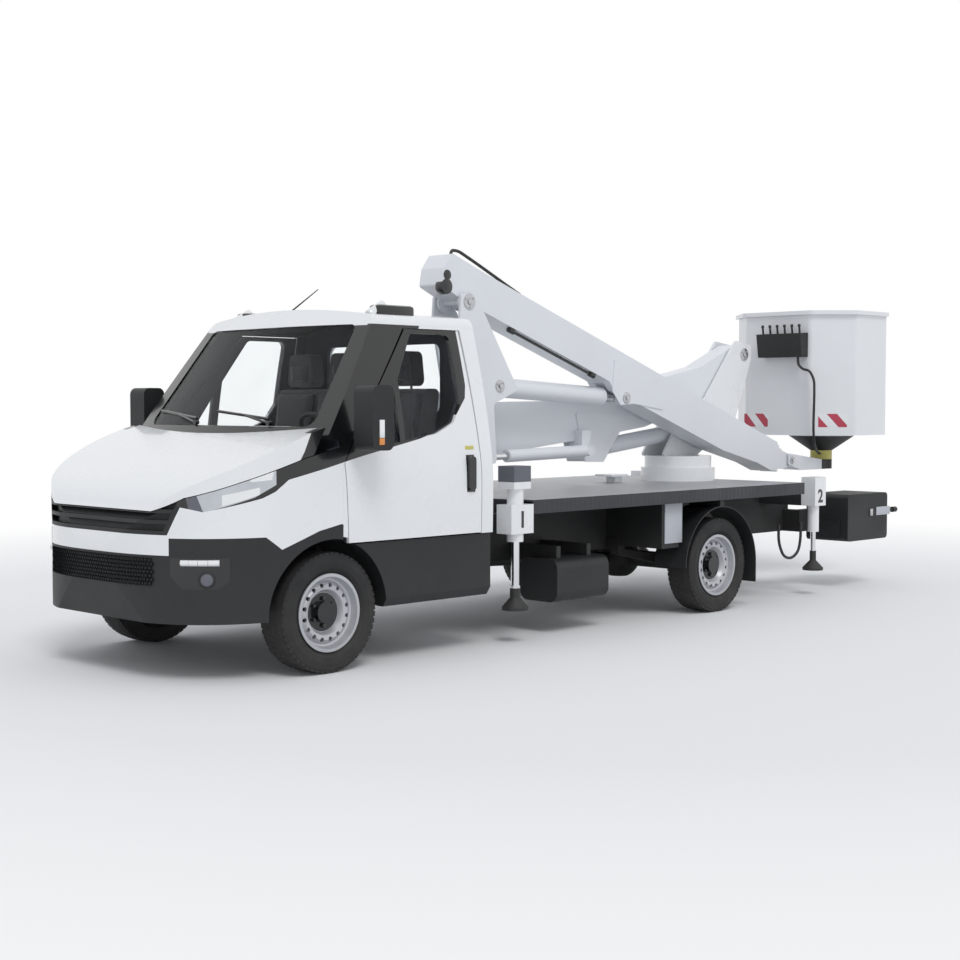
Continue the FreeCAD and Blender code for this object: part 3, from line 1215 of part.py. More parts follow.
def make_elbow():
    """Makes the elbow: three plates, the two boom pins, webs and the lugs of two cylinders."""
    left = upper_x + upper_half + plate_gap
    middle = upper_x - upper_half - plate_gap - plate_thick
    right = lower_x - lower_half - plate_gap - plate_thick
    pieces = [prism_yz(side_points(elbow_shares), left, left + plate_thick, plate_thick * 1.5),
              prism_yz(side_points(elbow_shares), middle, middle + plate_thick, plate_thick * 1.5),
              prism_yz(side_points(elbow_side_shares), right, right + plate_thick, plate_thick * 1.5)]
    pieces.append(disc_at(elbow_high, middle, left + plate_thick, pin_radius))
    pieces.append(disc_at(elbow_low, right, middle + plate_thick, pin_radius))
    pieces.append(prism_yz(side_points(elbow_shelf_shares), right, left + plate_thick / 2))
    for web_shares in (elbow_web_shares, elbow_low_web_shares):
        pieces.append(prism_yz(side_points(web_shares), middle, left + plate_thick / 2))
    for low, high in ((middle, upper_x - eye_width / 2 - eye_gap), (upper_x + eye_width / 2 + eye_gap, left)):
        pieces.append(disc_at(raise_elbow_pin, low, high, pin_radius * 1.6))
    pieces.append(disc_at(raise_elbow_pin, middle, left + plate_thick, pin_radius))
    for low, high in ((middle, level_x - eye_width / 4 - eye_gap), (level_x + eye_width / 4 + eye_gap, left)):
        pieces.append(disc_at(level_elbow_pin, low, high, pin_radius * 1.3))
    return fuse(pieces)


def cylinder_pair(start, end, x, barrel_radius, rod_radius, barrel_share, rod_start, start_width, end_width, bored):
    """Makes a hydraulic cylinder's barrel and rod between two pins; the rod's eye is the open end."""
    first = vec(x, start[0], start[1])
    last = vec(x, end[0], end[1])
    run = last - first
    along = run * (1 / run.Length)
    mouth = first + run * barrel_share
    eye = disc_at(start, x - start_width / 2, x + start_width / 2, pin_radius * 1.6)
    root = first + along * (pin_radius * 1.6 + turn_gap * 4)
    barrel = fuse([rod(root, mouth, barrel_radius), rod(first, root + along * sheet, start_width / 2), eye])
    barrel = cut(barrel, [rod(first + along * (pin_radius * 4), mouth + along * cut_over, rod_radius + turn_gap),
                          disc_at(start, x - start_width, x + start_width, bored + touch_gap)])
    bar = rod(first + along * rod_start, last, rod_radius)
    rod_eye = disc_at(end, x - end_width / 2, x + end_width / 2, pin_radius * 1.6)
    trimmed = box(x - end_width / 2, x + end_width / 2, end[0] - boss_radius, end[0] + boss_radius,
                  end[1] - boss_radius, end[1] + boss_radius)
    neck = pin_radius * 1.6 + turn_gap * 12
    bar = fuse([cut(bar, rod(last - along * neck, last + along * boss_radius, rod_radius + turn_gap)),
                common(rod(last - along * (neck + sheet), last, rod_radius), trimmed), rod_eye])
    return barrel, bar


def make_upper_boom():
    """Makes the upper boom's outer section with its head, deeper rear part and cylinder lugs."""
    nose = [(along * boom_length, up * boom_length) for along, up in head_shares]
    head = boom_prism([(0, boom_bottom_v), (stage_start, boom_bottom_v), (stage_start, boom_top_v)] + nose[::-1],
                      upper_x - upper_half, upper_x + upper_half, plate_thick)
    tube = boom_tube(stage_start - touch_gap, stage_one_end, 0.0, boom_wall)
    first, low_first, low_last, last = [boom_length * share for share in deep_shares]
    deep = boom_prism([(first, boom_bottom_v + touch_gap), (low_first, boom_deep_v), (low_last, boom_deep_v),
                       (last, boom_bottom_v + touch_gap)], upper_x - upper_half, upper_x + upper_half)
    pieces = [head, tube, deep]
    reach = boss_radius * 0.9
    for low in (upper_x - upper_half, upper_x + upper_half - plate_thick):
        pieces.append(disc_at(elbow_high, low, low + plate_thick, reach))
        pieces.append(boom_prism([(-reach, 0), (-reach, boom_top_v * 0.4), (reach, boom_top_v * 0.4), (reach, 0)],
                                 low, low + plate_thick))
    for low, high in ((upper_x - upper_half - sheet, upper_x - eye_width / 2 - eye_gap),
                      (upper_x + eye_width / 2 + eye_gap, upper_x + upper_half + sheet)):
        outer = low if low < upper_x - upper_half else high - sheet
        pieces.append(prism_yz(side_points(raise_gusset_shares), outer, outer + sheet, plate_thick))
        pieces.append(disc_at(raise_boom_pin, low, high, pin_radius * 1.6))
    boom = fuse(pieces)
    run = raise_boom_pin[0] - elbow_high[0]
    fall = elbow_high[1] - raise_boom_pin[1]
    along = run * math.cos(boom_slope) + fall * math.sin(boom_slope)
    down = run * math.sin(boom_slope) - fall * math.cos(boom_slope)
    ceiling = min(down + raise_rod_radius + turn_gap * 3, boom_bottom_v - touch_gap)
    corners = [boom_point(along - boss_radius * 3.6, down - boss_radius * 2),
               boom_point(along + boss_radius * 1.2, down - boss_radius * 2),
               boom_point(along + boss_radius * 1.2, ceiling), boom_point(along - boss_radius * 3.6, ceiling)]
    room = eye_room(raise_boom_pin, corners, upper_x, raise_rod_radius)
    return cut(boom, [disc_at(elbow_high, upper_x - upper_half * 2, upper_x + upper_half * 2, pin_radius + touch_gap),
                      room])


def slide_pads(start, outer_step):
    """Makes the ring of slide pads on a section's inner end, up to the section around it."""
    return boom_tube(start, start + pad_length, outer_step + boom_wall + touch_gap, stage_step - boom_wall)


def make_stage_two():
    """Makes the middle telescoping section with its slide pads."""
    start = stage_start + stage_step
    return fuse([boom_tube(start, stage_two_end, stage_step, boom_wall), slide_pads(start, 0.0)])


def make_stage_three():
    """Makes the inner telescoping section with the two ears that hold the basket bracket."""
    step = stage_step * 2
    tube = boom_tube(stage_start + stage_step * 2, stage_three_end, step, boom_wall)
    pieces = [tube, slide_pads(stage_start + stage_step * 2, stage_step)]
    for side in (-1, 1):
        low = upper_x + side * ear_half - ear_thick / 2
        pieces.append(prism_yz([boom_point(stage_three_end - boss_radius, boom_bottom_v + step + boom_wall / 2),
                                boom_point(stage_three_end - boss_radius, boom_top_v - step - boom_wall / 2),
                                (tip_pin[0] + pin_radius, tip_pin[1] + pin_radius * 1.6),
                                (tip_pin[0] + pin_radius * 1.6, tip_pin[1] - pin_radius * 1.6),
                                (tip_pin[0] - boss_radius * 1.5, tip_pin[1] - boss_radius)],
                               low, low + ear_thick, plate_thick / 2))
    cap = boom_tube(stage_three_end - plate_thick, stage_three_end, step, boom_wall)
    face = boom_prism([(stage_three_end - plate_thick, boom_bottom_v + step + touch_gap),
                       (stage_three_end, boom_bottom_v + step + touch_gap),
                       (stage_three_end, boom_top_v - step - touch_gap),
                       (stage_three_end - plate_thick, boom_top_v - step - touch_gap)],
                      upper_x - upper_half + step + touch_gap, upper_x + upper_half - step - touch_gap)
    pieces += [cap, face]
    return cut(fuse(pieces), disc_at(tip_pin, upper_x - upper_half, upper_x + upper_half, pin_radius + touch_gap))


def make_basket_bracket():
    """Makes the levelled bracket: two arms on the tip pin, and the rotator's fixed part."""
    pieces = [disc_at(tip_pin, upper_x - bracket_half, upper_x + bracket_half, pin_radius)]
    for side in (-1, 1):
        low = upper_x + side * (bracket_half - ear_thick / 2) - ear_thick / 2
        pieces.append(prism_yz([(tip_pin[0] - pin_radius * 2, tip_pin[1] - pin_radius * 1.6),
                                (tip_pin[0] - pin_radius * 2, tip_pin[1] + pin_radius * 2.4),
                                (rotator_y - rotator_radius * 1.2, rotator_top_z - touch_gap),
                                (rotator_y, rotator_top_z - touch_gap), (rotator_y, rotator_low_z),
                                (tip_pin[0] + boss_radius * 2, rotator_low_z + touch_gap)],
                               low, low + ear_thick, plate_thick / 2))
    pieces.append(rod(vec(upper_x, rotator_y, rotator_low_z), vec(upper_x, rotator_y, rotator_top_z), rotator_radius))
    pieces.append(box(upper_x - bracket_half, upper_x + bracket_half, tip_pin[0] + boss_radius * 2.4, rotator_y,
                      rotator_low_z, rotator_low_z + plate_thick))
    return fuse(pieces)


def basket_outline(grow):
    """Gives the basket's plan outline with its front chamfers and rear corners, moved out by a margin."""
    left = basket_left_x + grow
    right = basket_right_x - grow
    front = basket_front_y - grow
    rear = basket_rear_y + grow
    return [(right + basket_chamfer, front), (left - basket_chamfer, front), (left, front + basket_chamfer),
            (left, rear), (right, rear), (right, front + basket_chamfer)]


def make_basket():
    """Makes the basket: hollow tub with its rim, floor cone, turning band and step opening."""
    outer = prism_xy(basket_outline(0.0), basket_low_z, basket_top_z, basket_corner)
    inner = prism_xy(basket_outline(-basket_wall), basket_low_z + basket_wall, basket_top_z + cut_over,
                     basket_corner - basket_wall)
    rim = prism_xy(basket_outline(basket_rim), basket_top_z - basket_rim_height, basket_top_z,
                   basket_corner + basket_rim)
    hole = prism_xy(basket_outline(-basket_wall), basket_top_z - basket_rim_height - cut_over,
                    basket_top_z + cut_over, basket_corner - basket_wall)
    middle = vec(upper_x, rotator_y, 0)
    cone = Part.makeCone(rotator_radius, cone_radius, basket_low_z - band_high_z, middle + vec(0, 0, band_high_z))
    band = rod(middle + vec(0, 0, rotator_top_z + touch_gap), middle + vec(0, 0, band_high_z), rotator_radius)
    return fuse([cut(outer, inner), cut(rim, hole), cone, band])


def make_control_box():
    """Makes the basket's control box with its levers, on the outside of the front panel."""
    front = basket_front_y - control_depth
    body = prism_yz([(basket_front_y, control_low_z), (basket_front_y, control_top_z),
                     (front, control_top_z - sheet), (front + control_depth * 0.25, control_low_z)],
                    control_right_x, control_left_x)
    pieces = [body]
    pitch = (control_left_x - control_right_x) / lever_count
    for index in range(lever_count):
        x = control_right_x + pitch * (index + 0.5)
        pieces.append(rod(vec(x, front + control_depth * 0.45, control_top_z - sheet * 3),
                          vec(x, front + control_depth * 0.35, control_top_z + lever_height), lever_radius))
    return fuse(pieces)


def hose(points, radius):
    """Makes a hose: straight runs joined by tangent arcs."""
    edges = []
    here = points[0]
    for index in range(1, len(points) - 1):
        before, corner, after = points[index - 1], points[index], points[index + 1]
        first = before - corner
        second = after - corner
        shorter = min(first.Length, second.Length)
        unit_first = first * (1 / first.Length)
        unit_second = second * (1 / second.Length)
        half_turn = (math.pi - unit_first.getAngle(unit_second)) / 2
        run = shorter * 0.45
        arc_radius = run / math.tan(half_turn)
        start = corner + unit_first * run
        end = corner + unit_second * run
        inward = unit_first + unit_second
        middle = corner + inward * ((arc_radius / math.cos(half_turn) - arc_radius) / inward.Length)
        edges.append(Part.makeLine(here, start))
        edges.append(Part.Arc(start, middle, end).toShape())
        here = end
    edges.append(Part.makeLine(here, points[-1]))
    path = Part.Wire(edges)
    circle = Part.Wire([Part.makeCircle(radius, points[0], points[1] - points[0])])
    return path.makePipeShell([circle], True, False)


def route(shares):
    """Turns shares of half the width, the wheelbase and the aerial device's height into points."""
    return [vec(half_width * across, back(wheelbase * along), aerial_height * up) for across, along, up in shares]


# All pieces
def make_all():
    """Makes every piece by name."""
    bonnet, front_wings, front_bumper, grille, headlamps = make_front()
    cab_shell, cab_glass = make_cabin()
    door, door_glass_piece = make_doors()
    mirror = make_mirror(fuse([door, handle_block()]))
    lift_barrel, lift_rod = cylinder_pair(lift_turret_pin, lift_boom_pin, lower_x, lift_barrel_radius,
                                          lift_rod_radius, lift_barrel_share, rod_inset, eye_width, eye_width, pin_radius)
    raise_barrel, raise_rod = cylinder_pair(raise_elbow_pin, raise_boom_pin, upper_x, raise_barrel_radius,
                                            raise_rod_radius, raise_barrel_share, rod_inset, eye_width, eye_width, pin_radius)
    level_barrel, level_rod = cylinder_pair(level_boom_pin, level_elbow_pin, level_x, level_barrel_radius,
                                            level_rod_radius, level_barrel_share, level_inset, eye_width, eye_width / 2,
                                            pin_radius * 0.8)
    knuckle = make_knuckle()
    front_tyre = make_tyre(track_front_x, back(0))
    rear_tyre = make_tyre(track_rear_x, back(wheelbase))
    front_rim = make_rim(track_front_x, back(0))
    rear_rim = make_rim(track_rear_x, back(wheelbase))
    front_leg = make_leg(front_leg_x, front_leg_y, front_leg_radius, front_foot_radius, front_foot_z,
                         cap_top_z - deck_sheet * 3)
    rear_leg = make_leg(rear_leg_x, rear_leg_y, rear_leg_radius, rear_foot_radius, rear_foot_z,
                        rear_housing_top_z - deck_sheet * 3)
    housings = [make_front_housing(), make_rear_housing()]
    return {
        "chassis_frame": make_chassis(), "front_axle": make_front_axle(), "rear_axle": make_rear_axle(),
        "engine_block": make_engine(), "side_tank": make_tank(), "cab_shell": cab_shell, "cab_glass": cab_glass,
        "cab_sills": make_sills(), "front_wings": front_wings, "front_bumper": front_bumper, "grille": grille,
        "headlamps": headlamps, "bonnet": bonnet, "dashboard": make_dashboard(), "seats": make_seats(),
        "door_left": door, "door_right": mirrored(door), "door_glass_left": door_glass_piece,
        "door_glass_right": mirrored(door_glass_piece), "mirror_left": mirror, "mirror_right": mirrored(mirror),
        "deck": make_deck(), "mudguards": make_mudguards(), "tool_box": make_tool_box(),
        "stabiliser_housings": Part.makeCompound([shape for left in housings for shape in (left, mirrored(left))]),
        "leg_front_left": front_leg, "leg_front_right": mirrored(front_leg), "leg_rear_left": rear_leg,
        "leg_rear_right": mirrored(rear_leg), "slew_ring": make_slew_ring(), "knuckle_left": knuckle,
        "knuckle_right": mirrored(knuckle), "tyre_front_left": front_tyre, "tyre_front_right": mirrored(front_tyre),
        "tyre_rear_left": rear_tyre, "tyre_rear_right": mirrored(rear_tyre), "rim_front_left": front_rim,
        "rim_front_right": mirrored(front_rim), "rim_rear_left": rear_rim, "rim_rear_right": mirrored(rear_rim),
        "turret": make_turret(), "lower_boom": make_lower_boom(), "lift_barrel": lift_barrel, "lift_rod": lift_rod,
        "level_barrel": level_barrel, "level_rod": level_rod, "elbow": make_elbow(), "upper_boom": make_upper_boom(),
        "raise_barrel": raise_barrel, "raise_rod": raise_rod,
        "boom_stage_2": make_stage_two(),
        "boom_stage_3": make_stage_three(), "basket_bracket": make_basket_bracket(), "basket": make_basket(),
        "control_box": make_control_box(), "stabiliser_hose": hose(route(stabiliser_hose_shares), hose_radius),
        "boom_hose": hose(route(boom_hose_shares), hose_radius),
        "basket_hose": hose(route(basket_hose_shares), hose_radius),
    }


os.makedirs("parts", exist_ok=True)
for piece_name, piece_shape in make_all().items():
    save(piece_name, piece_shape)
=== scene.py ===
"""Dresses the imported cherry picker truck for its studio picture."""

import logging  # noqa: E402
import math  # noqa: E402
from dataclasses import dataclass  # noqa: E402
from enum import Enum  # noqa: E402
from functools import cache, reduce  # noqa: E402
from typing import Iterable, Sequence  # noqa: E402

import bpy  # noqa: E402
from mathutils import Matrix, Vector  # noqa: E402


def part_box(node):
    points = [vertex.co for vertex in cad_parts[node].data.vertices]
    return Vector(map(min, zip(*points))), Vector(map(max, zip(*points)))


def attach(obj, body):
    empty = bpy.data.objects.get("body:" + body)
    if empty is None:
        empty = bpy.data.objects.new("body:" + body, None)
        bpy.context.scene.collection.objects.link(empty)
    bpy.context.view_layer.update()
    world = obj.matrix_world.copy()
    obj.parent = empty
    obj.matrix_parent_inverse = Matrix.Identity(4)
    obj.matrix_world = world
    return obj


LOG = logging.getLogger("truck")
Colour = tuple[float, float, float]
Point = tuple[float, float, float]
Socket = bpy.types.NodeSocket
Object = bpy.types.Object
Material = bpy.types.Material
Value = Socket | float | Sequence[float]
Inputs = dict[str | int, Value]
FRONT_AXLE_Y = -2.92
# Lines that look for a surface start this far beside or above the truck, or ahead of it.
OUTSIDE = 3.0
BEFORE = -5.0
DUST = (0.34, 0.31, 0.27, 1.0)
PLAIN_WHITE = (1.0, 1.0, 1.0, 1.0)
LEFTWARD, RIGHTWARD = (1.0, 0.0, 0.0), (-1.0, 0.0, 0.0)
REARWARD, FORWARD = (0.0, 1.0, 0.0), (0.0, -1.0, 0.0)
UPWARD, DOWNWARD = (0.0, 0.0, 1.0), (0.0, 0.0, -1.0)


class Named(Enum):
    """A choice that the names of nodes and bodies tell."""

    @property
    def tag(self) -> str:
        """The choice as those names write it."""
        return self.name.lower()


class Side(Named):
    """A side of the truck, as the way its outer faces look along X."""

    LEFT = 1.0
    RIGHT = -1.0


class Axle(Named):
    """An axle, as its distance behind the front one."""

    FRONT = 0.0
    REAR = 3.75


def back(distance: float) -> float:
    """Gives the Y of a point that lies so far behind the front axle."""
    return FRONT_AXLE_Y + distance


def shade(colour: Colour, by: float) -> Colour:
    """Darkens or lightens a colour."""
    return tuple(min(1.0, channel * by) for channel in colour)


def sided(*names: str) -> tuple[str, ...]:
    """Gives the left and the right node of each name."""
    return tuple(f"{name}_{side.tag}" for name in names for side in Side)


class Nodes:
    """A node tree that grows by one call for each node."""

    def __init__(self, tree: bpy.types.NodeTree) -> None:
        """Keeps the tree."""
        self.tree = tree

    def fill(self, node: bpy.types.Node, values: Inputs) -> bpy.types.Node:
        """Sets a node's inputs.

        Args:
            node: the node.
            values: for each input, by name or number, its value or the output that drives it.

        Returns:
            The same node.
        """
        for key, value in values.items():
            if isinstance(value, Socket):
                self.tree.links.new(value, node.inputs[key])
            else:
                node.inputs[key].default_value = value
        return node

    def add(self, kind: str, values: Inputs | None = None, **options: str) -> bpy.types.Node:
        """Adds a node.

        Args:
            kind: its type, without the prefix.
            values: what its inputs get, as fill takes them.
            options: its own settings.

        Returns:
            The node.
        """
        node = self.tree.nodes.new(f"ShaderNode{kind}")
        for name, option in options.items():
            setattr(node, name, option)
        return self.fill(node, values or {})

    def place(self) -> Socket:
        """Gives the position on the piece."""
        return self.add("TexCoord").outputs["Object"]

    def parts(self, vector: Socket) -> bpy.types.NodeOutputs:
        """Takes a vector apart into X, Y and Z."""
        return self.add("SeparateXYZ", {0: vector}).outputs

    def noise(self, place: Socket, scale: float, detail: float) -> Socket:
        """Gives a noise of that scale and number of layers."""
        values = {"Vector": place, "Scale": scale, "Detail": detail}
        return self.add("TexNoise", values).outputs["Fac"]

    def wave(self, place: Socket, scale: float, direction: str, distortion: float = 0.0) -> Socket:
        """Gives a wave that runs along one axis."""
        values = {"Vector": place, "Scale": scale, "Distortion": distortion}
        return self.add("TexWave", values, bands_direction=direction).outputs["Fac"]

    def remap(self, value: Socket, low: float, high: float, start: float = 0.3,
              end: float = 0.7) -> Socket:
        """Stretches a value that runs from start to end, so that it runs from low to high."""
        values = {"Value": value, "From Min": start, "From Max": end, "To Min": low, "To Max": high}
        return self.add("MapRange", values).outputs["Result"]

    def maths(self, operation: str, *values: Value) -> Socket:
        """Works out one operation on numbers."""
        return self.add("Math", dict(enumerate(values)), operation=operation).outputs[0]

    def measure(self, operation: str, *values: Value) -> Socket:
        """Works out the number that one operation on vectors gives."""
        return self.add("VectorMath", dict(enumerate(values)), operation=operation).outputs["Value"]

    def fold(self, operation: str, values: Iterable[Socket]) -> Socket:
        """Joins several numbers with one operation."""
        return reduce(lambda first, second: self.maths(operation, first, second), values)

    def blend(self, factor: Socket, first: Value, second: Value) -> Socket:
        """Mixes two colours, 0 for the first."""
        return self.add("Mix", {0: factor, 6: first, 7: second}, data_type="RGBA").outputs[2]

    def patchy(self, pattern: Socket, first: Colour, second: Colour) -> Socket:
        """Gives one colour where a pattern is low and another where it is high."""
        return self.blend(self.remap(pattern, 0.0, 1.0), (*first, 1.0), (*second, 1.0))

    def mix(self, factor: Socket, first: Socket, second: Socket) -> Socket:
        """Mixes two surfaces, 0 for the first."""
        return self.add("MixShader", {0: factor, 1: first, 2: second}).outputs[0]

    def bump(self, height: Socket, strength: float, distance: float) -> Socket:
        """Gives the surface direction that a height makes."""
        values = {"Height": height, "Strength": strength, "Distance": distance}
        return self.add("Bump", values).outputs["Normal"]

    def shows_backdrop(self) -> Socket:
        """Tells the rays that show the backdrop: straight, mirrored or through glass.

        Returns:
            A value that is 1 for them.
        """
        rays = self.add("LightPath").outputs
        kinds = ("Is Camera Ray", "Is Glossy Ray", "Is Transmission Ray")
        return self.fold("MAXIMUM", [rays[kind] for kind in kinds])


@dataclass(frozen=True)
class Surface:
    """A material made of one surface.

    Args:
        name: what the material is called.
    """

    name: str

    def build(self) -> Material:
        """Makes the material.

        Returns:
            The finished material.
        """
        material = bpy.data.materials.new(self.name)
        material.use_nodes = True
        nodes = Nodes(material.node_tree)
        nodes.tree.nodes.remove(nodes.tree.nodes["Principled BSDF"])
        nodes.fill(nodes.tree.nodes["Material Output"], {"Surface": self.shader(nodes)})
        return material

    def shader(self, nodes: Nodes) -> Socket:
        """Adds the surface to a material; each kind of surface has its own way."""
        raise NotImplementedError


@cache
def finished(surface: Surface) -> Material:
    """Gives a surface's material, which is made the first time."""
    return surface.build()


@dataclass(frozen=True)
class Finish(Surface):
    """A plain surface with soft colour variation, fine bump and uneven gloss.

    Args:
        colour: its main colour.
        roughness: how matt it is.
        metallic: 1 for bare metal.
        coat: strength of a clear coat.
        vary: how far the colour darkens in patches.
        patch: size of the patches, as noise scale.
        bump: strength of the fine bump.
        grain: scale of the fine bump.
        dirt: how much road dust lies on the lower part.
    """

    colour: Colour
    roughness: float = 0.5
    metallic: float = 0.0
    coat: float = 0.0
    vary: float = 0.06
    patch: float = 2.5
    bump: float = 0.02
    grain: float = 400.0
    dirt: float = 0.0

    def shader(self, nodes: Nodes) -> Socket:
        """Adds the surface.

        Args:
            nodes: the material's nodes.

        Returns:
            The surface.
        """
        place = nodes.place()
        patches = nodes.noise(place, self.patch, 3.0)
        colour = nodes.patchy(patches, shade(self.colour, 1.0 - self.vary), self.colour)
        if self.dirt:
            low = nodes.remap(nodes.parts(place)["Z"], self.dirt, 0.0, 0.1, 0.7)
            dusty = nodes.maths("MULTIPLY", low, nodes.noise(place, 14.0, 4.0))
            colour = nodes.blend(dusty, colour, DUST)
        matt, glossy = min(1.0, self.roughness * 1.15), self.roughness * 0.85
        return nodes.add("BsdfPrincipled", {
            "Base Color": colour, "Metallic": self.metallic,
            "Coat Weight": self.coat, "Coat Roughness": 0.06,
            "Roughness": nodes.remap(patches, glossy, matt),
            "Normal": nodes.bump(nodes.noise(place, self.grain, 2.0), self.bump, 0.002),
        }).outputs["BSDF"]


@dataclass(frozen=True)
class Glazing(Surface):
    """Clear window glass with a tint and a faint haze.

    Args:
        tint: the glass colour.
    """

    tint: Colour = (0.96, 0.98, 0.985)

    def shader(self, nodes: Nodes) -> Socket:
        """Adds the glass.

        Args:
            nodes: the material's nodes.

        Returns:
            The surface.
        """
        haze = nodes.noise(nodes.place(), 3.0, 2.0)
        return nodes.add("BsdfPrincipled", {
            "Base Color": nodes.patchy(haze, shade(self.tint, 0.97), self.tint),
            "Transmission Weight": 1.0, "IOR": 1.12,
            "Roughness": nodes.remap(haze, 0.0, 0.03),
        }).outputs["BSDF"]


@dataclass(frozen=True)
class ChequerPlate(Surface):
    """Pale tread plate: raised short bars in two directions, and dark painted sides.

    Args:
        colour: the metal's colour.
        edge: the colour of the sides.
        pitch: distance between bars in metres.
    """

    colour: Colour = (0.44, 0.45, 0.47)
    edge: Colour = (0.055, 0.056, 0.064)
    pitch: float = 0.035

    def shader(self, nodes: Nodes) -> Socket:
        """Adds the plate.

        Args:
            nodes: the material's nodes.

        Returns:
            The surface.
        """
        place = nodes.place()
        turned = nodes.add("Mapping", {
            "Vector": place, "Rotation": (0.0, 0.0, math.radians(45.0)),
            "Scale": (1.0 / self.pitch, 1.0 / self.pitch, 1.0)}).outputs[0]
        checks = nodes.add("TexChecker", {"Vector": turned, "Scale": 1.0}).outputs["Fac"]
        bars = [nodes.remap(nodes.wave(turned, 0.95, direction), 0.0, 1.0, 0.55, 0.85)
                for direction in ("X", "Y")]
        height = nodes.add("Mix", {0: checks, 2: bars[0], 3: bars[1]}).outputs[0]
        worn = nodes.noise(place, 5.0, 4.0)
        faces = nodes.parts(nodes.add("NewGeometry").outputs["True Normal"])
        on_top = nodes.maths("GREATER_THAN", faces["Z"], 0.5)
        metal = nodes.patchy(worn, shade(self.colour, 0.72), self.colour)
        return nodes.add("BsdfPrincipled", {
            "Base Color": nodes.blend(on_top, (*self.edge, 1.0), metal), "Metallic": 0.55,
            "Roughness": nodes.remap(worn, 0.35, 0.55),
            "Normal": nodes.bump(height, 0.5, 0.003),
        }).outputs["BSDF"]


@dataclass(frozen=True)
class Fabric(Surface):
    """Woven seat cloth with a fine weave and light sheen.

    Args:
        colour: the cloth's colour.
        threads: threads per metre.
    """

    colour: Colour = (0.045, 0.047, 0.052)
    threads: float = 420.0

    def shader(self, nodes: Nodes) -> Socket:
        """Adds the cloth.

        Args:
            nodes: the material's nodes.

        Returns:
            The surface.
        """
        place = nodes.place()
        weave = nodes.fold("MULTIPLY", [nodes.wave(place, self.threads / 6.3, direction, 0.6)
                                        for direction in ("X", "Z")])
        faded = nodes.patchy(nodes.noise(place, 6.0, 3.0), self.colour, shade(self.colour, 1.6))
        return nodes.add("BsdfPrincipled", {
            "Base Color": faded, "Roughness": 0.9, "Sheen Weight": 0.25,
            "Normal": nodes.bump(weave, 0.4, 0.001),
        }).outputs["BSDF"]


@dataclass(frozen=True)
class Zone:
    """A part of the space where a second finish shows: inside every half space at once.

    Args:
        limits: for each half space, the direction into it and how far along that it starts.
        mirrored: whether the zone is repeated on the truck's other side.
    """

    limits: tuple[tuple[Point, float], ...]
    mirrored: bool = True

    def mask(self, nodes: Nodes) -> Socket:
        """Adds the zone's mask.

        Args:
            nodes: the material's nodes.

        Returns:
            A value that is 1 inside the zone.
        """
        place = nodes.place()
        if self.mirrored:
            given = nodes.parts(place)
            place = nodes.add("CombineXYZ", {
                0: nodes.maths("ABSOLUTE", given["X"]), 1: given["Y"], 2: given["Z"]}).outputs[0]
        return nodes.fold("MULTIPLY", [
            nodes.maths("GREATER_THAN", nodes.measure("DOT_PRODUCT", place, way), start)
            for way, start in self.limits])


@dataclass(frozen=True)
class Ring:
    """The space near a line along X, such as a wheel's middle.

    Args:
        middle: a point on the line, at X 0.
        radius: how far the zone reaches.
    """

    middle: Point
    radius: float

    def mask(self, nodes: Nodes) -> Socket:
        """Adds the zone's mask.

        Args:
            nodes: the material's nodes.

        Returns:
            A value that is 1 inside the zone.
        """
        across = {0: nodes.place(), 1: (0.0, 1.0, 1.0)}
        flat = nodes.add("VectorMath", across, operation="MULTIPLY").outputs[0]
        return nodes.maths("LESS_THAN", nodes.measure("DISTANCE", flat, self.middle), self.radius)


@dataclass(frozen=True)
class Zoned(Surface):
    """A finish that gives way to others in some zones.

    Args:
        base: the finish outside every zone.
        layers: each further finish with its zones.
    """

    base: Finish
    layers: tuple[tuple[Finish, tuple[Zone | Ring, ...]], ...]

    def shader(self, nodes: Nodes) -> Socket:
        """Adds the finishes, each over the ones before it.

        Args:
            nodes: the material's nodes.

        Returns:
            The surface.
        """
        surface = self.base.shader(nodes)
        for finish, zones in self.layers:
            mask = nodes.fold("MAXIMUM", [zone.mask(nodes) for zone in zones])
            surface = nodes.mix(mask, surface, finish.shader(nodes))
        return surface


def side_zone(corners: Sequence[tuple[float, float]], *more: tuple[Point, float]) -> Zone:
    """Makes a zone from a convex outline in the side view.

    Args:
        corners: distance behind the front axle and height of each corner, in order.
        more: further half spaces.

    Returns:
        The zone, on both sides of the truck.
    """
    points = [Vector((0.0, back(along), up)) for along, up in corners]
    middle = sum(points, Vector()) / len(points)
    limits = []
    for index, point in enumerate(points):
        edge = point - points[index - 1]
        inward = Vector((0.0, -edge.z, edge.y)).normalized()
        if inward.dot(middle - point) < 0:
            inward = -inward
        limits.append((tuple(inward), inward.dot(point)))
    return Zone(tuple(limits) + more)


def lower_part(top: float) -> Zone:
    """Makes the zone below a height."""
    return Zone(((DOWNWARD, -top),), mirrored=False)


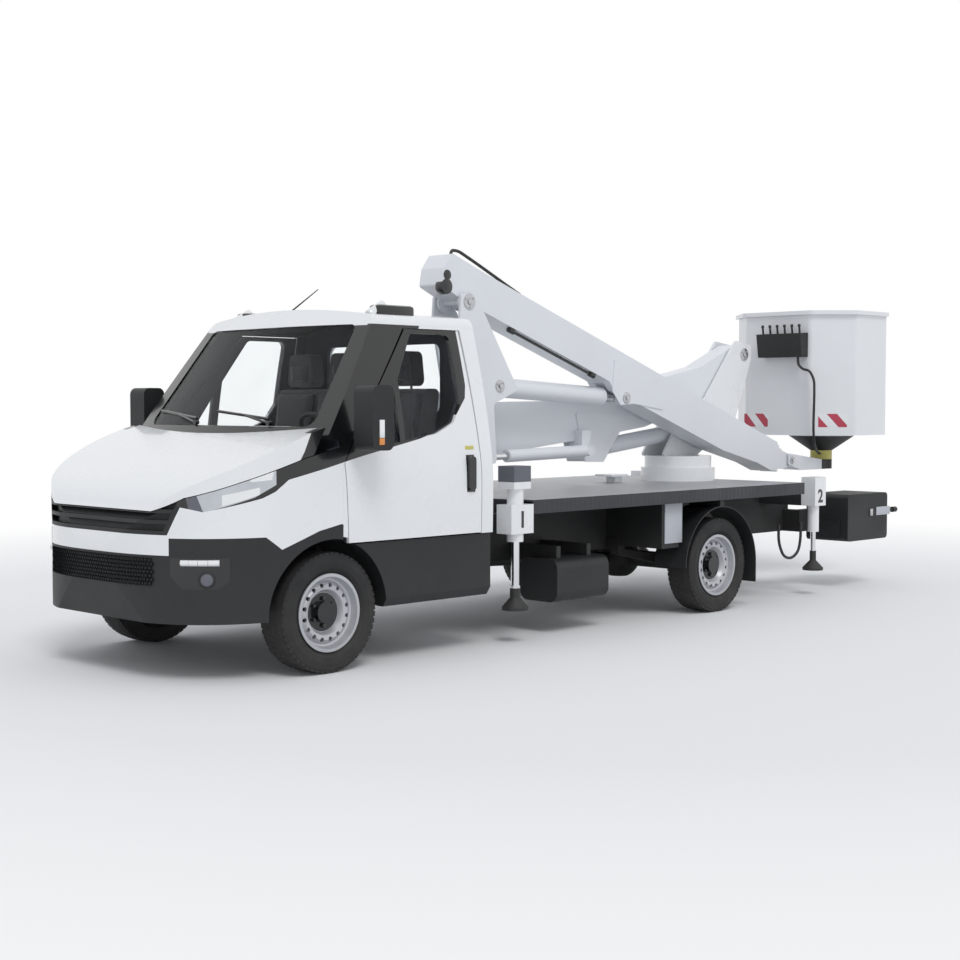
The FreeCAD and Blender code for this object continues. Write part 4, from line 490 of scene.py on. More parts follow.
WHITE = Finish("white_paint", (0.83, 0.845, 0.86), 0.28, coat=0.5, vary=0.02, bump=0.008)
BOOM_WHITE = Finish("boom_paint", (0.78, 0.80, 0.835), 0.4, coat=0.15, vary=0.03)
BASKET_WHITE = Finish("basket_gel_coat", (0.80, 0.815, 0.84), 0.33, coat=0.2, vary=0.03,
                      bump=0.03, grain=120.0)
BLACK = Finish("black_plastic", (0.0125, 0.014, 0.0155), 0.55, vary=0.15, bump=0.12, grain=700.0,
               dirt=0.05)
TRIM = Finish("gloss_black_trim", (0.006, 0.007, 0.008), 0.22, coat=0.4, vary=0.1)
CHASSIS = Finish("chassis_paint", (0.016, 0.017, 0.018), 0.6, vary=0.25, bump=0.1, grain=90.0,
                 dirt=0.12)
GREY = Finish("grey_paint", (0.50, 0.52, 0.56), 0.5, vary=0.05)
CABIN_LINING = Finish("cabin_lining", (0.045, 0.052, 0.064), 0.75, vary=0.1, bump=0.1,
                      grain=300.0)
# Dark grey: the headlamp bezels' and fog lenses' own colour, and also painted shade on the
# stabiliser covers.
DARK_GREY_AND_SHADE = Finish("dark_grey_paint", (0.13, 0.135, 0.16), 0.5, vary=0.08)
RIM = Finish("silver_rim_paint", (0.52, 0.53, 0.56), 0.38, metallic=0.5, vary=0.1, dirt=0.05)
STEEL = Finish("zinc_steel", (0.55, 0.56, 0.58), 0.32, metallic=0.9, vary=0.15, patch=20.0,
               bump=0.05)
CHROME = Finish("chrome_rod", (0.75, 0.76, 0.78), 0.12, metallic=1.0, vary=0.05)
TYRE = Finish("tyre_rubber", (0.0125, 0.013, 0.0145), 0.75, vary=0.25, patch=9.0, bump=0.15,
              grain=260.0, dirt=0.10)
RUBBER = Finish("hose_rubber", (0.02, 0.02, 0.022), 0.5, vary=0.2, bump=0.1)
ENGINE = Finish("engine_casting", (0.16, 0.16, 0.17), 0.6, metallic=0.5, vary=0.3, bump=0.3,
                grain=60.0)
YELLOW = Finish("yellow_paint", (0.62, 0.56, 0.16), 0.5, vary=0.1)
RED = Finish("red_film", (0.50, 0.05, 0.09), 0.35, vary=0.08)
AMBER = Finish("amber_lens", (0.75, 0.26, 0.05), 0.2, coat=0.5)
LAMP = Finish("lamp_reflector", (0.56, 0.59, 0.63), 0.14, metallic=0.4, coat=1.0, vary=0.18,
              patch=6.0)
LENS = Finish("clear_lens", (0.80, 0.82, 0.84), 0.08, metallic=0.6, coat=1.0)
GLASS = Glazing("window_glass")
CLOTH = Fabric("seat_cloth")
DECK_PLATE = ChequerPlate("chequer_plate")

PILLAR = side_zone(((-0.375, 1.105), (0.115, 1.217), (0.115, 1.46), (-0.10, 1.46), (-0.375, 1.22)))
PILLAR_UP = side_zone(((-0.02, 1.36), (0.10, 1.21), (0.35, 1.26), (0.84, 2.02), (0.44, 2.02)),
                      (LEFTWARD, 0.70))
BONNET_CORNER = side_zone(((-0.24, 1.20), (0.12, 1.20), (0.12, 1.46), (-0.085, 1.46)),
                          (LEFTWARD, 0.90))
SCREEN_FRAME = side_zone(((-0.16, 1.33), (0.06, 1.33), (0.60, 2.012), (0.40, 2.012)))
DOOR_FRAME = side_zone(((0.10, 1.217), (0.70, 1.335), (0.88, 1.385), (1.02, 1.465),
                        (1.125, 1.58), (1.145, 1.66), (1.145, 2.012), (0.70, 2.012)))
DOOR_WEDGE = side_zone(((0.06, 1.205), (0.30, 1.258), (0.80, 2.012), (0.55, 2.012)))
LAMP_EDGES = (side_zone(((-0.86, 0.88), (-0.50, 0.95), (-0.50, 1.030), (-0.86, 0.912))),
              side_zone(((-0.50, 0.95), (-0.36, 0.95), (-0.36, 1.105), (-0.50, 1.030))),
              side_zone(((-0.375, 0.90), (-0.10, 0.90), (-0.10, 1.40), (-0.375, 1.40))),
              side_zone(((-1.00, 0.85), (-0.775, 0.85), (-0.825, 1.20), (-1.00, 1.20))))
LAMP_BEZEL = side_zone(((-0.80, 0.94), (-0.735, 0.94), (-0.775, 1.085), (-0.82, 1.085)))
LAMP_BRIGHT = (side_zone(((-0.66, 0.985), (-0.47, 1.045), (-0.47, 1.085), (-0.66, 1.045))),
               side_zone(((-0.52, 1.115), (-0.40, 1.125), (-0.385, 1.19), (-0.52, 1.155))))
FOG_RECESS = side_zone(((-0.850, 0.60), (-0.815, 0.530), (-0.68, 0.530), (-0.627, 0.575),
                        (-0.627, 0.70), (-0.850, 0.70)))
CABIN = Zone((((-0.97, 0.0, -0.24), -1.245), ((0.97, 0.0, -0.24), -1.245),
              (RIGHTWARD, -0.968), (LEFTWARD, -0.968), ((0.0, 0.8, -0.6), -3.150),
              (REARWARD, back(0.0)), (FORWARD, -back(1.288)),
              ((-0.06, 0.0, -1.0), -2.118), ((0.06, 0.0, -1.0), -2.118)), mirrored=False)
COWL = Zone(((REARWARD, back(-0.13)), (UPWARD, 1.30), (FORWARD, -back(0.10)), (DOWNWARD, -1.425),
             (RIGHTWARD, -0.90)))
HANDLE = Zone(((REARWARD, back(1.072)), (FORWARD, -back(1.144)), (UPWARD, 1.00),
               (DOWNWARD, -1.23), (LEFTWARD, 0.6)))
# Painted shade: the stabiliser covers' tops and sides are painted dark grey as shade; the next zone
# gives their front faces back the covers' own grey.
SHADED_CAP = Zone(((UPWARD, 1.045), (FORWARD, -back(1.75))), mirrored=False)
CAP_FACE = Zone(((UPWARD, 1.045), (FORWARD, -back(1.4025))), mirrored=False)
BRACKET_END = Zone(((REARWARD, back(6.27)),), mirrored=False)

BODY_PAINT = Zoned("body_paint", WHITE, (
    (TRIM, (PILLAR, PILLAR_UP, SCREEN_FRAME, COWL)), (CABIN_LINING, (CABIN,))))
BONNET_PAINT = Zoned("bonnet_paint", WHITE, ((TRIM, (BONNET_CORNER,)),))
DOOR_PAINT = Zoned("door_paint", WHITE, (
    (TRIM, (DOOR_FRAME, DOOR_WEDGE, HANDLE)), (CABIN_LINING, (CABIN,))))
BASKET_FINISH = Zoned("basket_finish", BASKET_WHITE, (
    (CHASSIS, (lower_part(1.262),)), (YELLOW, (lower_part(1.131),))))
BRACKET_FINISH = Zoned("bracket_finish", BOOM_WHITE, ((CHASSIS, (BRACKET_END,)),))
# Stabiliser housings: white, with painted shade in dark grey on the covers, and the covers' own
# grey on their front faces.
HOUSING_PAINT_AND_SHADE = Zoned("housing_paint_and_shade", WHITE, ((DARK_GREY_AND_SHADE, (SHADED_CAP,)), (GREY, (CAP_FACE,))))
LEG_FINISH = Zoned("leg_finish", CHROME, ((CHASSIS, (lower_part(0.36),)),))
HEADLAMP_FINISH = Zoned("headlamp_finish", LAMP, (
    (DARK_GREY_AND_SHADE, (LAMP_BEZEL,)), (LENS, LAMP_BRIGHT), (TRIM, LAMP_EDGES)))
BUMPER_FINISH = Zoned("bumper_finish", BLACK, ((TRIM, (FOG_RECESS,)),))
FRONT_RIM, REAR_RIM = (
    Zoned(f"rim_{axle.tag}", RIM, ((TRIM, (Ring((0.0, back(axle.value), 0.35), 0.112),)),))
    for axle in Axle)

NODE_FINISHES: tuple[tuple[Surface, tuple[str, ...]], ...] = (
    (CHASSIS, ("chassis_frame", "front_axle", "rear_axle", *sided("knuckle"))),
    (ENGINE, ("engine_block",)),
    (BUMPER_FINISH, ("front_bumper",)),
    (BLACK, ("side_tank", "cab_sills", "grille", "dashboard", "mudguards", "tool_box",
             "control_box", *sided("mirror"))),
    (BODY_PAINT, ("cab_shell", "front_wings")),
    (BONNET_PAINT, ("bonnet",)),
    (DOOR_PAINT, sided("door")),
    (HOUSING_PAINT_AND_SHADE, ("stabiliser_housings",)),
    (WHITE, ("slew_ring", "turret")),
    (GLASS, ("cab_glass", *sided("door_glass"))),
    (HEADLAMP_FINISH, ("headlamps",)),
    (CLOTH, ("seats",)),
    (DECK_PLATE, ("deck",)),
    (LEG_FINISH, sided("leg_front", "leg_rear")),
    (TYRE, sided("tyre_front", "tyre_rear")),
    (FRONT_RIM, sided("rim_front")),
    (REAR_RIM, sided("rim_rear")),
    (CHROME, ("lift_rod", "level_rod", "raise_rod")),
    (BOOM_WHITE, ("lower_boom", "lift_barrel", "level_barrel", "elbow", "upper_boom",
                  "raise_barrel", "boom_stage_2", "boom_stage_3")),
    (BRACKET_FINISH, ("basket_bracket",)),
    (BASKET_FINISH, ("basket",)),
    (RUBBER, ("stabiliser_hose", "boom_hose", "basket_hose")),
)


@dataclass(frozen=True)
class StripedFilm(Surface):
    """Red and white warning film with slanted stripes.

    Args:
        across: the direction that crosses the stripes.
        pitch: distance from stripe to stripe.
    """

    across: Point
    pitch: float = 0.16

    def shader(self, nodes: Nodes) -> Socket:
        """Adds the film.

        Args:
            nodes: the material's nodes.

        Returns:
            The surface.
        """
        way = [part / self.pitch for part in self.across]
        run = nodes.maths("FRACT", nodes.measure("DOT_PRODUCT", nodes.place(), way))
        red = nodes.maths("GREATER_THAN", run, 0.5)
        return nodes.mix(red, WHITE.shader(nodes), RED.shader(nodes))


@dataclass(frozen=True)
class StudioFloor(Surface):
    """Pale matt floor that fades into the white backdrop.

    Args:
        colour: the floor's colour.
        fade: where it starts to fade and where it has faded, from the middle.
    """

    colour: Colour = (0.88, 0.88, 0.885)
    fade: tuple[float, float] = (5.0, 10.0)

    def shader(self, nodes: Nodes) -> Socket:
        """Adds the floor.

        Args:
            nodes: the material's nodes.

        Returns:
            The surface.
        """
        faded = nodes.remap(nodes.measure("LENGTH", nodes.place()), 0.0, 1.0, *self.fade)
        shown = nodes.maths("MULTIPLY", faded, nodes.shows_backdrop())
        matt = nodes.add("BsdfPrincipled", {"Base Color": (*self.colour, 1.0), "Roughness": 0.9})
        glow = nodes.add("Emission", {"Color": PLAIN_WHITE})
        return nodes.mix(shown, matt.outputs[0], glow.outputs[0])


def alone(obj: Object | None) -> None:
    """Selects one object, or none, and nothing else."""
    bpy.ops.object.select_all(action="DESELECT")
    if obj is not None:
        obj.select_set(True)
        bpy.context.view_layer.objects.active = obj


def settle(obj: Object) -> None:
    """Puts an object's place, turn and scale into its mesh."""
    alone(obj)
    bpy.ops.object.transform_apply(location=True, rotation=True, scale=True)


def smoothed(obj: Object, angle: float) -> None:
    """Shades an object smooth across edges up to an angle in degrees."""
    alone(obj)
    bpy.ops.object.shade_smooth_by_angle(angle=math.radians(angle))


@dataclass
class Piece:
    """What every added piece needs besides its form.

    Args:
        body: the body it moves with.
        slot: the record's material slot; not used.
        surface: its finish.
    """

    body: str
    slot: str
    surface: Surface

    def give(self, obj: Object) -> Object:
        """Finishes a modelled object: its place, shading, finish and body.

        Args:
            obj: the modelled object.

        Returns:
            The same object.
        """
        settle(obj)
        smoothed(obj, 35.0)
        obj.data.materials.clear()
        obj.data.materials.append(finished(self.surface))
        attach(obj, self.body)
        LOG.info("%s rides on %s", obj.name, self.body)
        return obj

    def give_both(self, obj: Object) -> None:
        """Finishes an object and its copy on the truck's other side.

        Args:
            obj: the modelled object.
        """
        other = mirrored(obj)
        other.name = obj.name + "_right"
        for piece in (obj, other):
            self.give(piece)


def rounded(obj: Object, width: float) -> Object:
    """Rounds an object's edges.

    Args:
        obj: the object.
        width: how wide the rounding is.

    Returns:
        The same object.
    """
    alone(obj)
    if width > 0.0:
        bevel = obj.modifiers.new("bevel", "BEVEL")
        bevel.width = width
        bevel.segments = 2
        bevel.limit_method = "ANGLE"
        bpy.ops.object.modifier_apply(modifier=bevel.name)
    return obj


def block(name: str, low: Point, high: Point, bevel: float = 0.003) -> Object:
    """Models a box between two corners.

    Args:
        name: what it is called.
        low: the lowest corner.
        high: the highest corner.
        bevel: how far its edges are rounded.

    Returns:
        The box.
    """
    alone(None)
    middle = [(a + b) / 2 for a, b in zip(low, high)]
    bpy.ops.mesh.primitive_cube_add(size=1.0, location=middle)
    obj = bpy.context.object
    obj.name = name
    obj.scale = [b - a for a, b in zip(low, high)]
    settle(obj)
    return rounded(obj, bevel)


def bar(name: str, start: Point, end: Point, radius: float, sides: int = 20,
        end_radius: float | None = None, bevel: float = 0.0) -> Object:
    """Models a round or many-sided bar between two points.

    Args:
        name: what it is called.
        start: the middle of one end.
        end: the middle of the other end.
        radius: the radius at the start.
        sides: how many sides it has.
        end_radius: the radius at the end, where it differs.
        bevel: how far its edges are rounded.

    Returns:
        The bar.
    """
    first, last = Vector(start), Vector(end)
    run = last - first
    alone(None)
    bpy.ops.mesh.primitive_cone_add(
        vertices=sides, radius1=radius, radius2=radius if end_radius is None else end_radius,
        depth=run.length, location=(first + last) / 2,
        rotation=run.to_track_quat("Z", "Y").to_euler())
    obj = bpy.context.object
    obj.name = name
    settle(obj)
    return rounded(obj, bevel)


def joined(name: str, pieces: Sequence[Object]) -> Object:
    """Joins objects into one.

    Args:
        name: what the one object is called.
        pieces: the objects.

    Returns:
        The joined object.
    """
    alone(pieces[0])
    for piece in pieces:
        piece.select_set(True)
    if len(pieces) > 1:
        bpy.ops.object.join()
    obj = bpy.context.object
    obj.name = name
    return obj


def duplicate(obj: Object) -> Object:
    """Copies an object with its own mesh.

    Args:
        obj: what is copied.

    Returns:
        The copy, which alone is selected.
    """
    copy = obj.copy()
    copy.data = obj.data.copy()
    bpy.context.scene.collection.objects.link(copy)
    alone(copy)
    return copy


def turned(obj: Object, turn: float, middle: Point) -> Object:
    """Copies an object, turned about a line along X.

    Args:
        obj: what is copied.
        turn: how far the copy is turned, in degrees.
        middle: a point on the line.

    Returns:
        The copy.
    """
    copy = duplicate(obj)
    bpy.ops.transform.rotate(value=math.radians(turn), orient_axis="X", center_override=middle)
    settle(copy)
    return copy


def mirrored(obj: Object) -> Object:
    """Copies an object to the truck's other side.

    Args:
        obj: what is copied.

    Returns:
        The mirrored copy.
    """
    copy = duplicate(obj)
    copy.scale = (-1.0, 1.0, 1.0)
    settle(copy)
    bpy.ops.object.mode_set(mode="EDIT")
    bpy.ops.mesh.select_all(action="SELECT")
    bpy.ops.mesh.normals_make_consistent(inside=False)
    bpy.ops.object.mode_set(mode="OBJECT")
    return copy


def meet(node: str, start: Point, way: Point) -> tuple[Vector, Vector]:
    """Finds where a straight line first meets a CAD node.

    Args:
        node: the node.
        start: where the line starts.
        way: its direction.

    Returns:
        The point on the node's surface, and the surface's outward direction there.
    """
    hit, point, normal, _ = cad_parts[node].ray_cast(Vector(start), Vector(way))
    if not hit:
        raise ValueError(f"no surface of {node} from {start}")
    return point, normal.normalized()


def beside(node: str, y: float, z: float, side: Side = Side.LEFT) -> Vector:
    """Finds the point of a node's outer side at that Y and Z."""
    return meet(node, (side.value * OUTSIDE, y, z), (-side.value, 0.0, 0.0))[0]


def above(node: str, x: float, y: float) -> Vector:
    """Finds the point of a node's top at that X and Y."""
    return meet(node, (x, y, OUTSIDE), DOWNWARD)[0]


def ahead(node: str, x: float, z: float) -> Vector:
    """Finds the point of a node's front at that X and Z."""
    return meet(node, (x, BEFORE, z), REARWARD)[0]


@dataclass
class Studio:
    """The pale floor, the lights and the camera at the photograph's viewing angle."""

    camera_place: Point = (7.834, -8.686, 1.544)
    azimuth: float = 44.53
    pitch: float = -3.03
    lens: float = 58.9
    sensor: float = 36.0
    shift_y: float = 0.0073
    far_end: float = 300.0
    floor_size: float = 120.0
    sky: Colour = (0.93, 0.96, 1.0)
    sky_strength: float = 0.66
    key_strength: float = 1.0
    key_width: float = 22.0
    key_tilt: float = 38.0
    key_turn: float = 62.0

    def build(self) -> None:
        """Builds the whole studio."""
        self.floor()
        self.world()
        self.key_lamp()
        self.camera()
        LOG.info("studio ready")

    def floor(self) -> None:
        """Makes the floor."""
        alone(None)
        bpy.ops.mesh.primitive_grid_add(
            x_subdivisions=8, y_subdivisions=8, size=self.floor_size, location=(0, 0, 0))
        floor = bpy.context.object
        floor.name = "studio_floor"
        floor.data.materials.append(finished(StudioFloor("studio_floor")))

    def world(self) -> None:
        """Makes the soft surrounding light, which shows white behind the truck."""
        world = bpy.data.worlds.new("studio")
        bpy.context.scene.world = world
        world.use_nodes = True
        nodes = Nodes(world.node_tree)
        light = {"Color": (*self.sky, 1.0), "Strength": self.sky_strength}
        soft = nodes.fill(nodes.tree.nodes["Background"], light)
        white = nodes.add("Background", {"Color": PLAIN_WHITE, "Strength": 1.0})
        shown = nodes.mix(nodes.shows_backdrop(), soft.outputs[0], white.outputs[0])
        nodes.fill(nodes.tree.nodes["World Output"], {"Surface": shown})

    def key_lamp(self) -> None:
        """Makes one soft key lamp from above the truck's front left."""
        data = bpy.data.lights.new("key", "SUN")
        data.energy = self.key_strength
        data.angle = math.radians(self.key_width)
        lamp = bpy.data.objects.new("key", data)
        lamp.rotation_euler = (math.radians(self.key_tilt), 0.0, math.radians(self.key_turn))
        bpy.context.scene.collection.objects.link(lamp)

    def camera(self) -> None:
        """Makes the camera."""
        data = bpy.data.cameras.new("camera")
        data.sensor_fit = "HORIZONTAL"
        data.sensor_width = self.sensor
        data.lens = self.lens
        data.shift_y = self.shift_y
        data.clip_end = self.far_end
        camera = bpy.data.objects.new("camera", data)
        camera.location = self.camera_place
        camera.rotation_euler = (math.radians(90.0 + self.pitch), 0.0, math.radians(self.azimuth))
        bpy.context.scene.collection.objects.link(camera)
        bpy.context.scene.camera = camera


@dataclass
class CabDetails:
    """What shows on the cab besides its panels: wipers, lamps, antenna, label and mesh."""

    wiper_pivots: tuple[float, float] = (0.48, -0.22)
    wiper_length: float = 0.52
    wiper_foot: float = 1.43
    arm_tip: float = 1.485
    blade_rise: tuple[float, float] = (1.455, 1.50)
    blade_radius: float = 0.009
    roof_lamp_x: float = 0.665
    roof_lamp_size: Point = (0.10, 0.30, 0.10)
    roof_lamp_start: float = 0.60
    roof_lens_radius: float = 0.034
    antenna_foot: tuple[float, float] = (-0.30, 0.70)
    antenna_reach: Point = (0.13, 0.16, 0.17)
    fog_place: tuple[float, float] = (0.785, 0.582)
    fog_radius: float = 0.036
    strip_step: float = 0.039
    strip_radius: float = 0.019
    mesh_half: float = 0.53
    mesh_low: float = 0.545
    mesh_high: float = 0.705
    cell: float = 0.025
    cell_depth: float = 0.012
    cell_hollow: float = 0.010
    mirror_middle: tuple[float, float] = (0.165, 1.40)
    mirror_lamp_reach: tuple[float, float] = (0.146, 0.184)
    mirror_lamps_up: tuple[tuple[str, Surface, float, float], ...] = (
        ("clear", LENS, 1.352, 1.455), ("amber", AMBER, 1.312, 1.350))
    label_middle: tuple[float, float] = (1.108, 1.273)
    label_reach: tuple[float, float] = (1.072, 1.144)
    label_rise: tuple[float, float] = (1.262, 1.285)

    def build(self) -> None:
        """Builds every detail of the cab."""
        self.wipers()
        self.roof_lamps()
        self.antenna()
        self.fog_lamps()
        self.bumper_mesh()
        self.mirror_lamps()
        self.label()

    def on_screen(self, x: float, z: float, lift: float) -> Point:
        """Gives the point that far in front of the windscreen, at that X and Z."""
        return (x, ahead("cab_glass", x, z).y - lift, z)

    def wipers(self) -> None:
        """Models the two wipers: an arm, a blade and a pivot each."""
        half, foot, radius = self.wiper_length / 2, self.wiper_foot, self.blade_radius
        low, high = self.blade_rise
        parts = []
        for x in self.wiper_pivots:
            tip = x - self.wiper_length * 0.55
            parts += [
                bar("arm", self.on_screen(x, foot, 0.022),
                    self.on_screen(tip, self.arm_tip, 0.030), radius, 8, 0.005),
                bar("blade", self.on_screen(tip + half, low, 0.012),
                    self.on_screen(tip - half, high, 0.012), radius, 8),
                bar("pivot", self.on_screen(x, foot, 0.002), self.on_screen(x, foot, 0.030),
                    0.016, 12)]
        Piece("vehicle", "black_plastic", TRIM).give(joined("wipers", parts))

    def roof_lamps(self) -> None:
        """Models the two marker lamps on the roof's front corners."""
        width, length, height = self.roof_lamp_size
        x = self.roof_lamp_x
        front = above("cab_shell", x, back(self.roof_lamp_start))
        rear = above("cab_shell", x, back(self.roof_lamp_start) + length)
        housing = block("roof_lamp", (x - width / 2, front.y, front.z - 0.03),
                        (x + width / 2, rear.y, rear.z + height * 0.55), 0.022)
        lens = bar("roof_lens", (x, front.y - 0.035, front.z - 0.012),
                   (x, front.y + 0.08, front.z + height * 0.62), self.roof_lens_radius, 16,
                   0.026, 0.006)
        Piece("vehicle", "black_plastic", TRIM).give_both(housing)
        Piece("vehicle", "lamp_clear", LENS).give_both(lens)

    def antenna(self) -> None:
        """Models the short roof antenna on its foot."""
        x, along = self.antenna_foot
        foot = above("cab_shell", x, back(along))
        tip = tuple(start + run for start, run in zip(foot, self.antenna_reach))
        rod = bar("antenna", foot, tip, 0.006, 8, 0.003)
        base = bar("antenna_base", (foot.x, foot.y, foot.z - 0.004),
                   (foot.x, foot.y, foot.z + 0.022), 0.024, 16, 0.012, 0.003)
        Piece("vehicle", "black_plastic", BLACK).give(joined("antenna", [rod, base]))

    def fog_lamps(self) -> None:
        """Models the round fog lamp in each of the bumper's corners, with its bright bar."""
        x, z = self.fog_place
        radius = self.fog_radius
        face, normal = meet("front_bumper", (x, BEFORE, z), REARWARD)
        inner = face - normal * 0.02
        lens = bar("fog_lens", inner, face + normal * 0.006, radius, 24, radius * 0.94, 0.003)
        ring = bar("fog_ring", inner, face + normal * 0.003, radius * 1.5, 24, radius * 1.35,
                   0.003)
        spots = [ahead("front_bumper", x - 0.115 + self.strip_step * step, z + 0.093)
                 + Vector((0.0, 0.006, 0.0)) for step in range(5)]
        strip = joined("fog_strip", [bar("strip", first, last, self.strip_radius, 10)
                                     for first, last in zip(spots, spots[1:])])
        for obj, slot, surface in ((lens, "lamp_clear", DARK_GREY_AND_SHADE), (ring, "black_plastic", BLACK),
                                   (strip, "lamp_clear", LENS)):
            Piece("vehicle", slot, surface).give_both(obj)

    def bumper_mesh(self) -> None:
        """Models the bumper's lower mesh: one six-sided cell, copied in rows over the face."""
        rise = self.cell * 0.86
        rows = int((self.mesh_high - self.mesh_low) / rise)
        columns = int(2 * self.mesh_half / self.cell)
        cell = self.mesh_cell()
        cells = []
        for row in range(rows):
            z = self.mesh_low + (row + 0.5) * rise
            for column in range(columns):
                x = -self.mesh_half + (column + 0.5 * (row % 2)) * self.cell
                copy = duplicate(cell)
                copy.location = (x, ahead("front_bumper", x, z).y - 0.001, z)
                cells.append(copy)
        bpy.data.objects.remove(cell)
        Piece("vehicle", "black_plastic", TRIM).give(joined("bumper_mesh", cells))

    def mesh_cell(self) -> Object:
        """Models one cell of the mesh: a short six-sided block with a hollow in its front.

        Returns:
            The cell.
        """
        alone(None)
        bpy.ops.mesh.primitive_cylinder_add(
            vertices=6, radius=self.cell * 0.56, depth=self.cell_depth,
            rotation=(math.radians(90.0), 0.0, 0.0))
        cell = bpy.context.object
        settle(cell)
        bpy.ops.object.mode_set(mode="EDIT")
        bpy.ops.mesh.select_all(action="DESELECT")
        bpy.ops.object.mode_set(mode="OBJECT")
        for face in cell.data.polygons:
            face.select = face.normal.y < -0.9
        bpy.ops.object.mode_set(mode="EDIT")
        bpy.ops.mesh.inset(thickness=self.cell * 0.14)
        bpy.ops.transform.translate(value=(0.0, self.cell_hollow, 0.0))
        bpy.ops.object.mode_set(mode="OBJECT")
        return cell

    def mirror_lamps(self) -> None:
        """Models the lamp on each mirror's outer side: a clear part over an amber one."""
        (along, up), (first, last) = self.mirror_middle, self.mirror_lamp_reach
        for side in Side:
            face = beside(f"mirror_{side.tag}", back(along), up, side)
            near, far = sorted((face.x - side.value * 0.004, face.x + side.value * 0.006))
            for name, surface, low, high in self.mirror_lamps_up:
                lamp = block(f"mirror_{name}_{side.tag}", (near, back(first), low),
                             (far, back(last), high))
                Piece(f"door_{side.tag}", "lamp_clear", surface).give(lamp)

    def label(self) -> None:
        """Models the plain yellow label above the left door's handle."""
        (along, up), (first, last), (low, high) = (
            self.label_middle, self.label_reach, self.label_rise)
        face = beside("door_left", back(along), up)
        label = block("door_label", (face.x - 0.003, back(first), low),
                      (face.x + 0.0025, back(last), high), 0.0005)
        Piece("door_left", "lamp_clear", YELLOW).give(label)


@dataclass(frozen=True)
class PadForm:
    """One kind of pad.

    Args:
        name: what it is called.
        along: its middle's distance behind the front axle.
        up: its middle's height.
        length: its size along the truck.
        height: its height.
        lean: how far its top leans back.
        width: its width, where that isn't its place's.
    """

    name: str
    along: float
    up: float
    length: float
    height: float
    lean: float = 0.0
    width: float | None = None


@dataclass
class SeatPads:
    """The seats' stuffed covers: cushions, back rests and head rests, swollen by pressure.

    Args:
        seats: middle, width and number of places of each seat.
        gap: how much narrower a pad is than its place.
        voxel: how fine the simulated mesh is.
        cap: how far a point may move.
        pressure: how hard the pads are blown up.
        frames: how long the simulation runs.
        forms: what each place has.
    """

    seats: tuple[tuple[float, float, int], ...] = ((0.400, 0.500, 1), (-0.370, 0.880, 2))
    gap: float = 0.036
    voxel: float = 0.009
    cap: float = 0.016
    pressure: float = 4.0
    frames: int = 20
    forms: tuple[PadForm, ...] = (
        PadForm("cushion", 0.780, 1.104, 0.325, 0.040, 0.06),
        PadForm("back_rest", 0.978, 1.385, 0.034, 0.480, math.radians(9.4)),
        PadForm("head_rest", 1.048, 1.745, 0.026, 0.135, width=0.200))

    def build(self) -> None:
        """Builds every pad and swells them together."""
        pads = []
        for index, (x, width, places) in enumerate(self.seats):
            half = width / places / 2
            for place in range(places):
                middle = x - width / 2 + half * (2 * place + 1)
                pads += [self.pad(form, f"{index}_{place}", middle, half * 2 - self.gap)
                         for form in self.forms]
        self.swell(pads)
        for pad in pads:
            Piece("vehicle", "seat_fabric", CLOTH).give(pad)

    def pad(self, form: PadForm, tag: str, x: float, width: float) -> Object:
        """Models a pad's slightly smaller first shape.

        Args:
            form: its kind.
            tag: its seat and place.
            x: its middle across the truck.
            width: its width, where its kind has none.

        Returns:
            The pad.
        """
        size = (form.width or width, form.length, form.height)
        low, high = [-part / 2 for part in size], [part / 2 for part in size]
        obj = block(f"{form.name}_{tag}", low, high, min(size) * 0.32)
        obj.rotation_euler = (-form.lean, 0.0, 0.0)
        obj.location = (x, back(form.along), form.up)
        settle(obj)
        return obj

    def swell(self, pads: Sequence[Object]) -> None:
        """Swells the pads with pressure, and leaves the result in their meshes.

        Args:
            pads: the pads.
        """
        starts = [self.prepare(pad) for pad in pads]
        for frame in range(1, self.frames + 1):
            bpy.context.scene.frame_set(frame)
        for pad, start in zip(pads, starts):
            alone(pad)
            bpy.ops.object.modifier_apply(modifier="cloth")
            for vertex, before in zip(pad.data.vertices, start):
                move = vertex.co - before
                if move.length > self.cap:
                    vertex.co = before + move.normalized() * self.cap
            finer = pad.modifiers.new("finer", "SUBSURF")
            finer.levels = finer.render_levels = 1
            bpy.ops.object.modifier_apply(modifier=finer.name)
        bpy.context.scene.frame_set(1)

    def prepare(self, pad: Object) -> list[Vector]:
        """Gives a pad an even mesh and its cloth settings.

        Args:
            pad: the pad.

        Returns:
            Where its points start.
        """
        alone(pad)
        remesh = pad.modifiers.new("remesh", "REMESH")
        remesh.mode = "VOXEL"
        remesh.voxel_size = self.voxel
        bpy.ops.object.modifier_apply(modifier=remesh.name)
        cloth = pad.modifiers.new("cloth", "CLOTH")
        cloth.settings.quality = 4
        cloth.settings.use_pressure = True
        cloth.settings.uniform_pressure_force = self.pressure
        cloth.settings.effector_weights.gravity = 0.0
        cloth.point_cache.frame_start = 1
        cloth.point_cache.frame_end = self.frames
        return [vertex.co.copy() for vertex in pad.data.vertices]


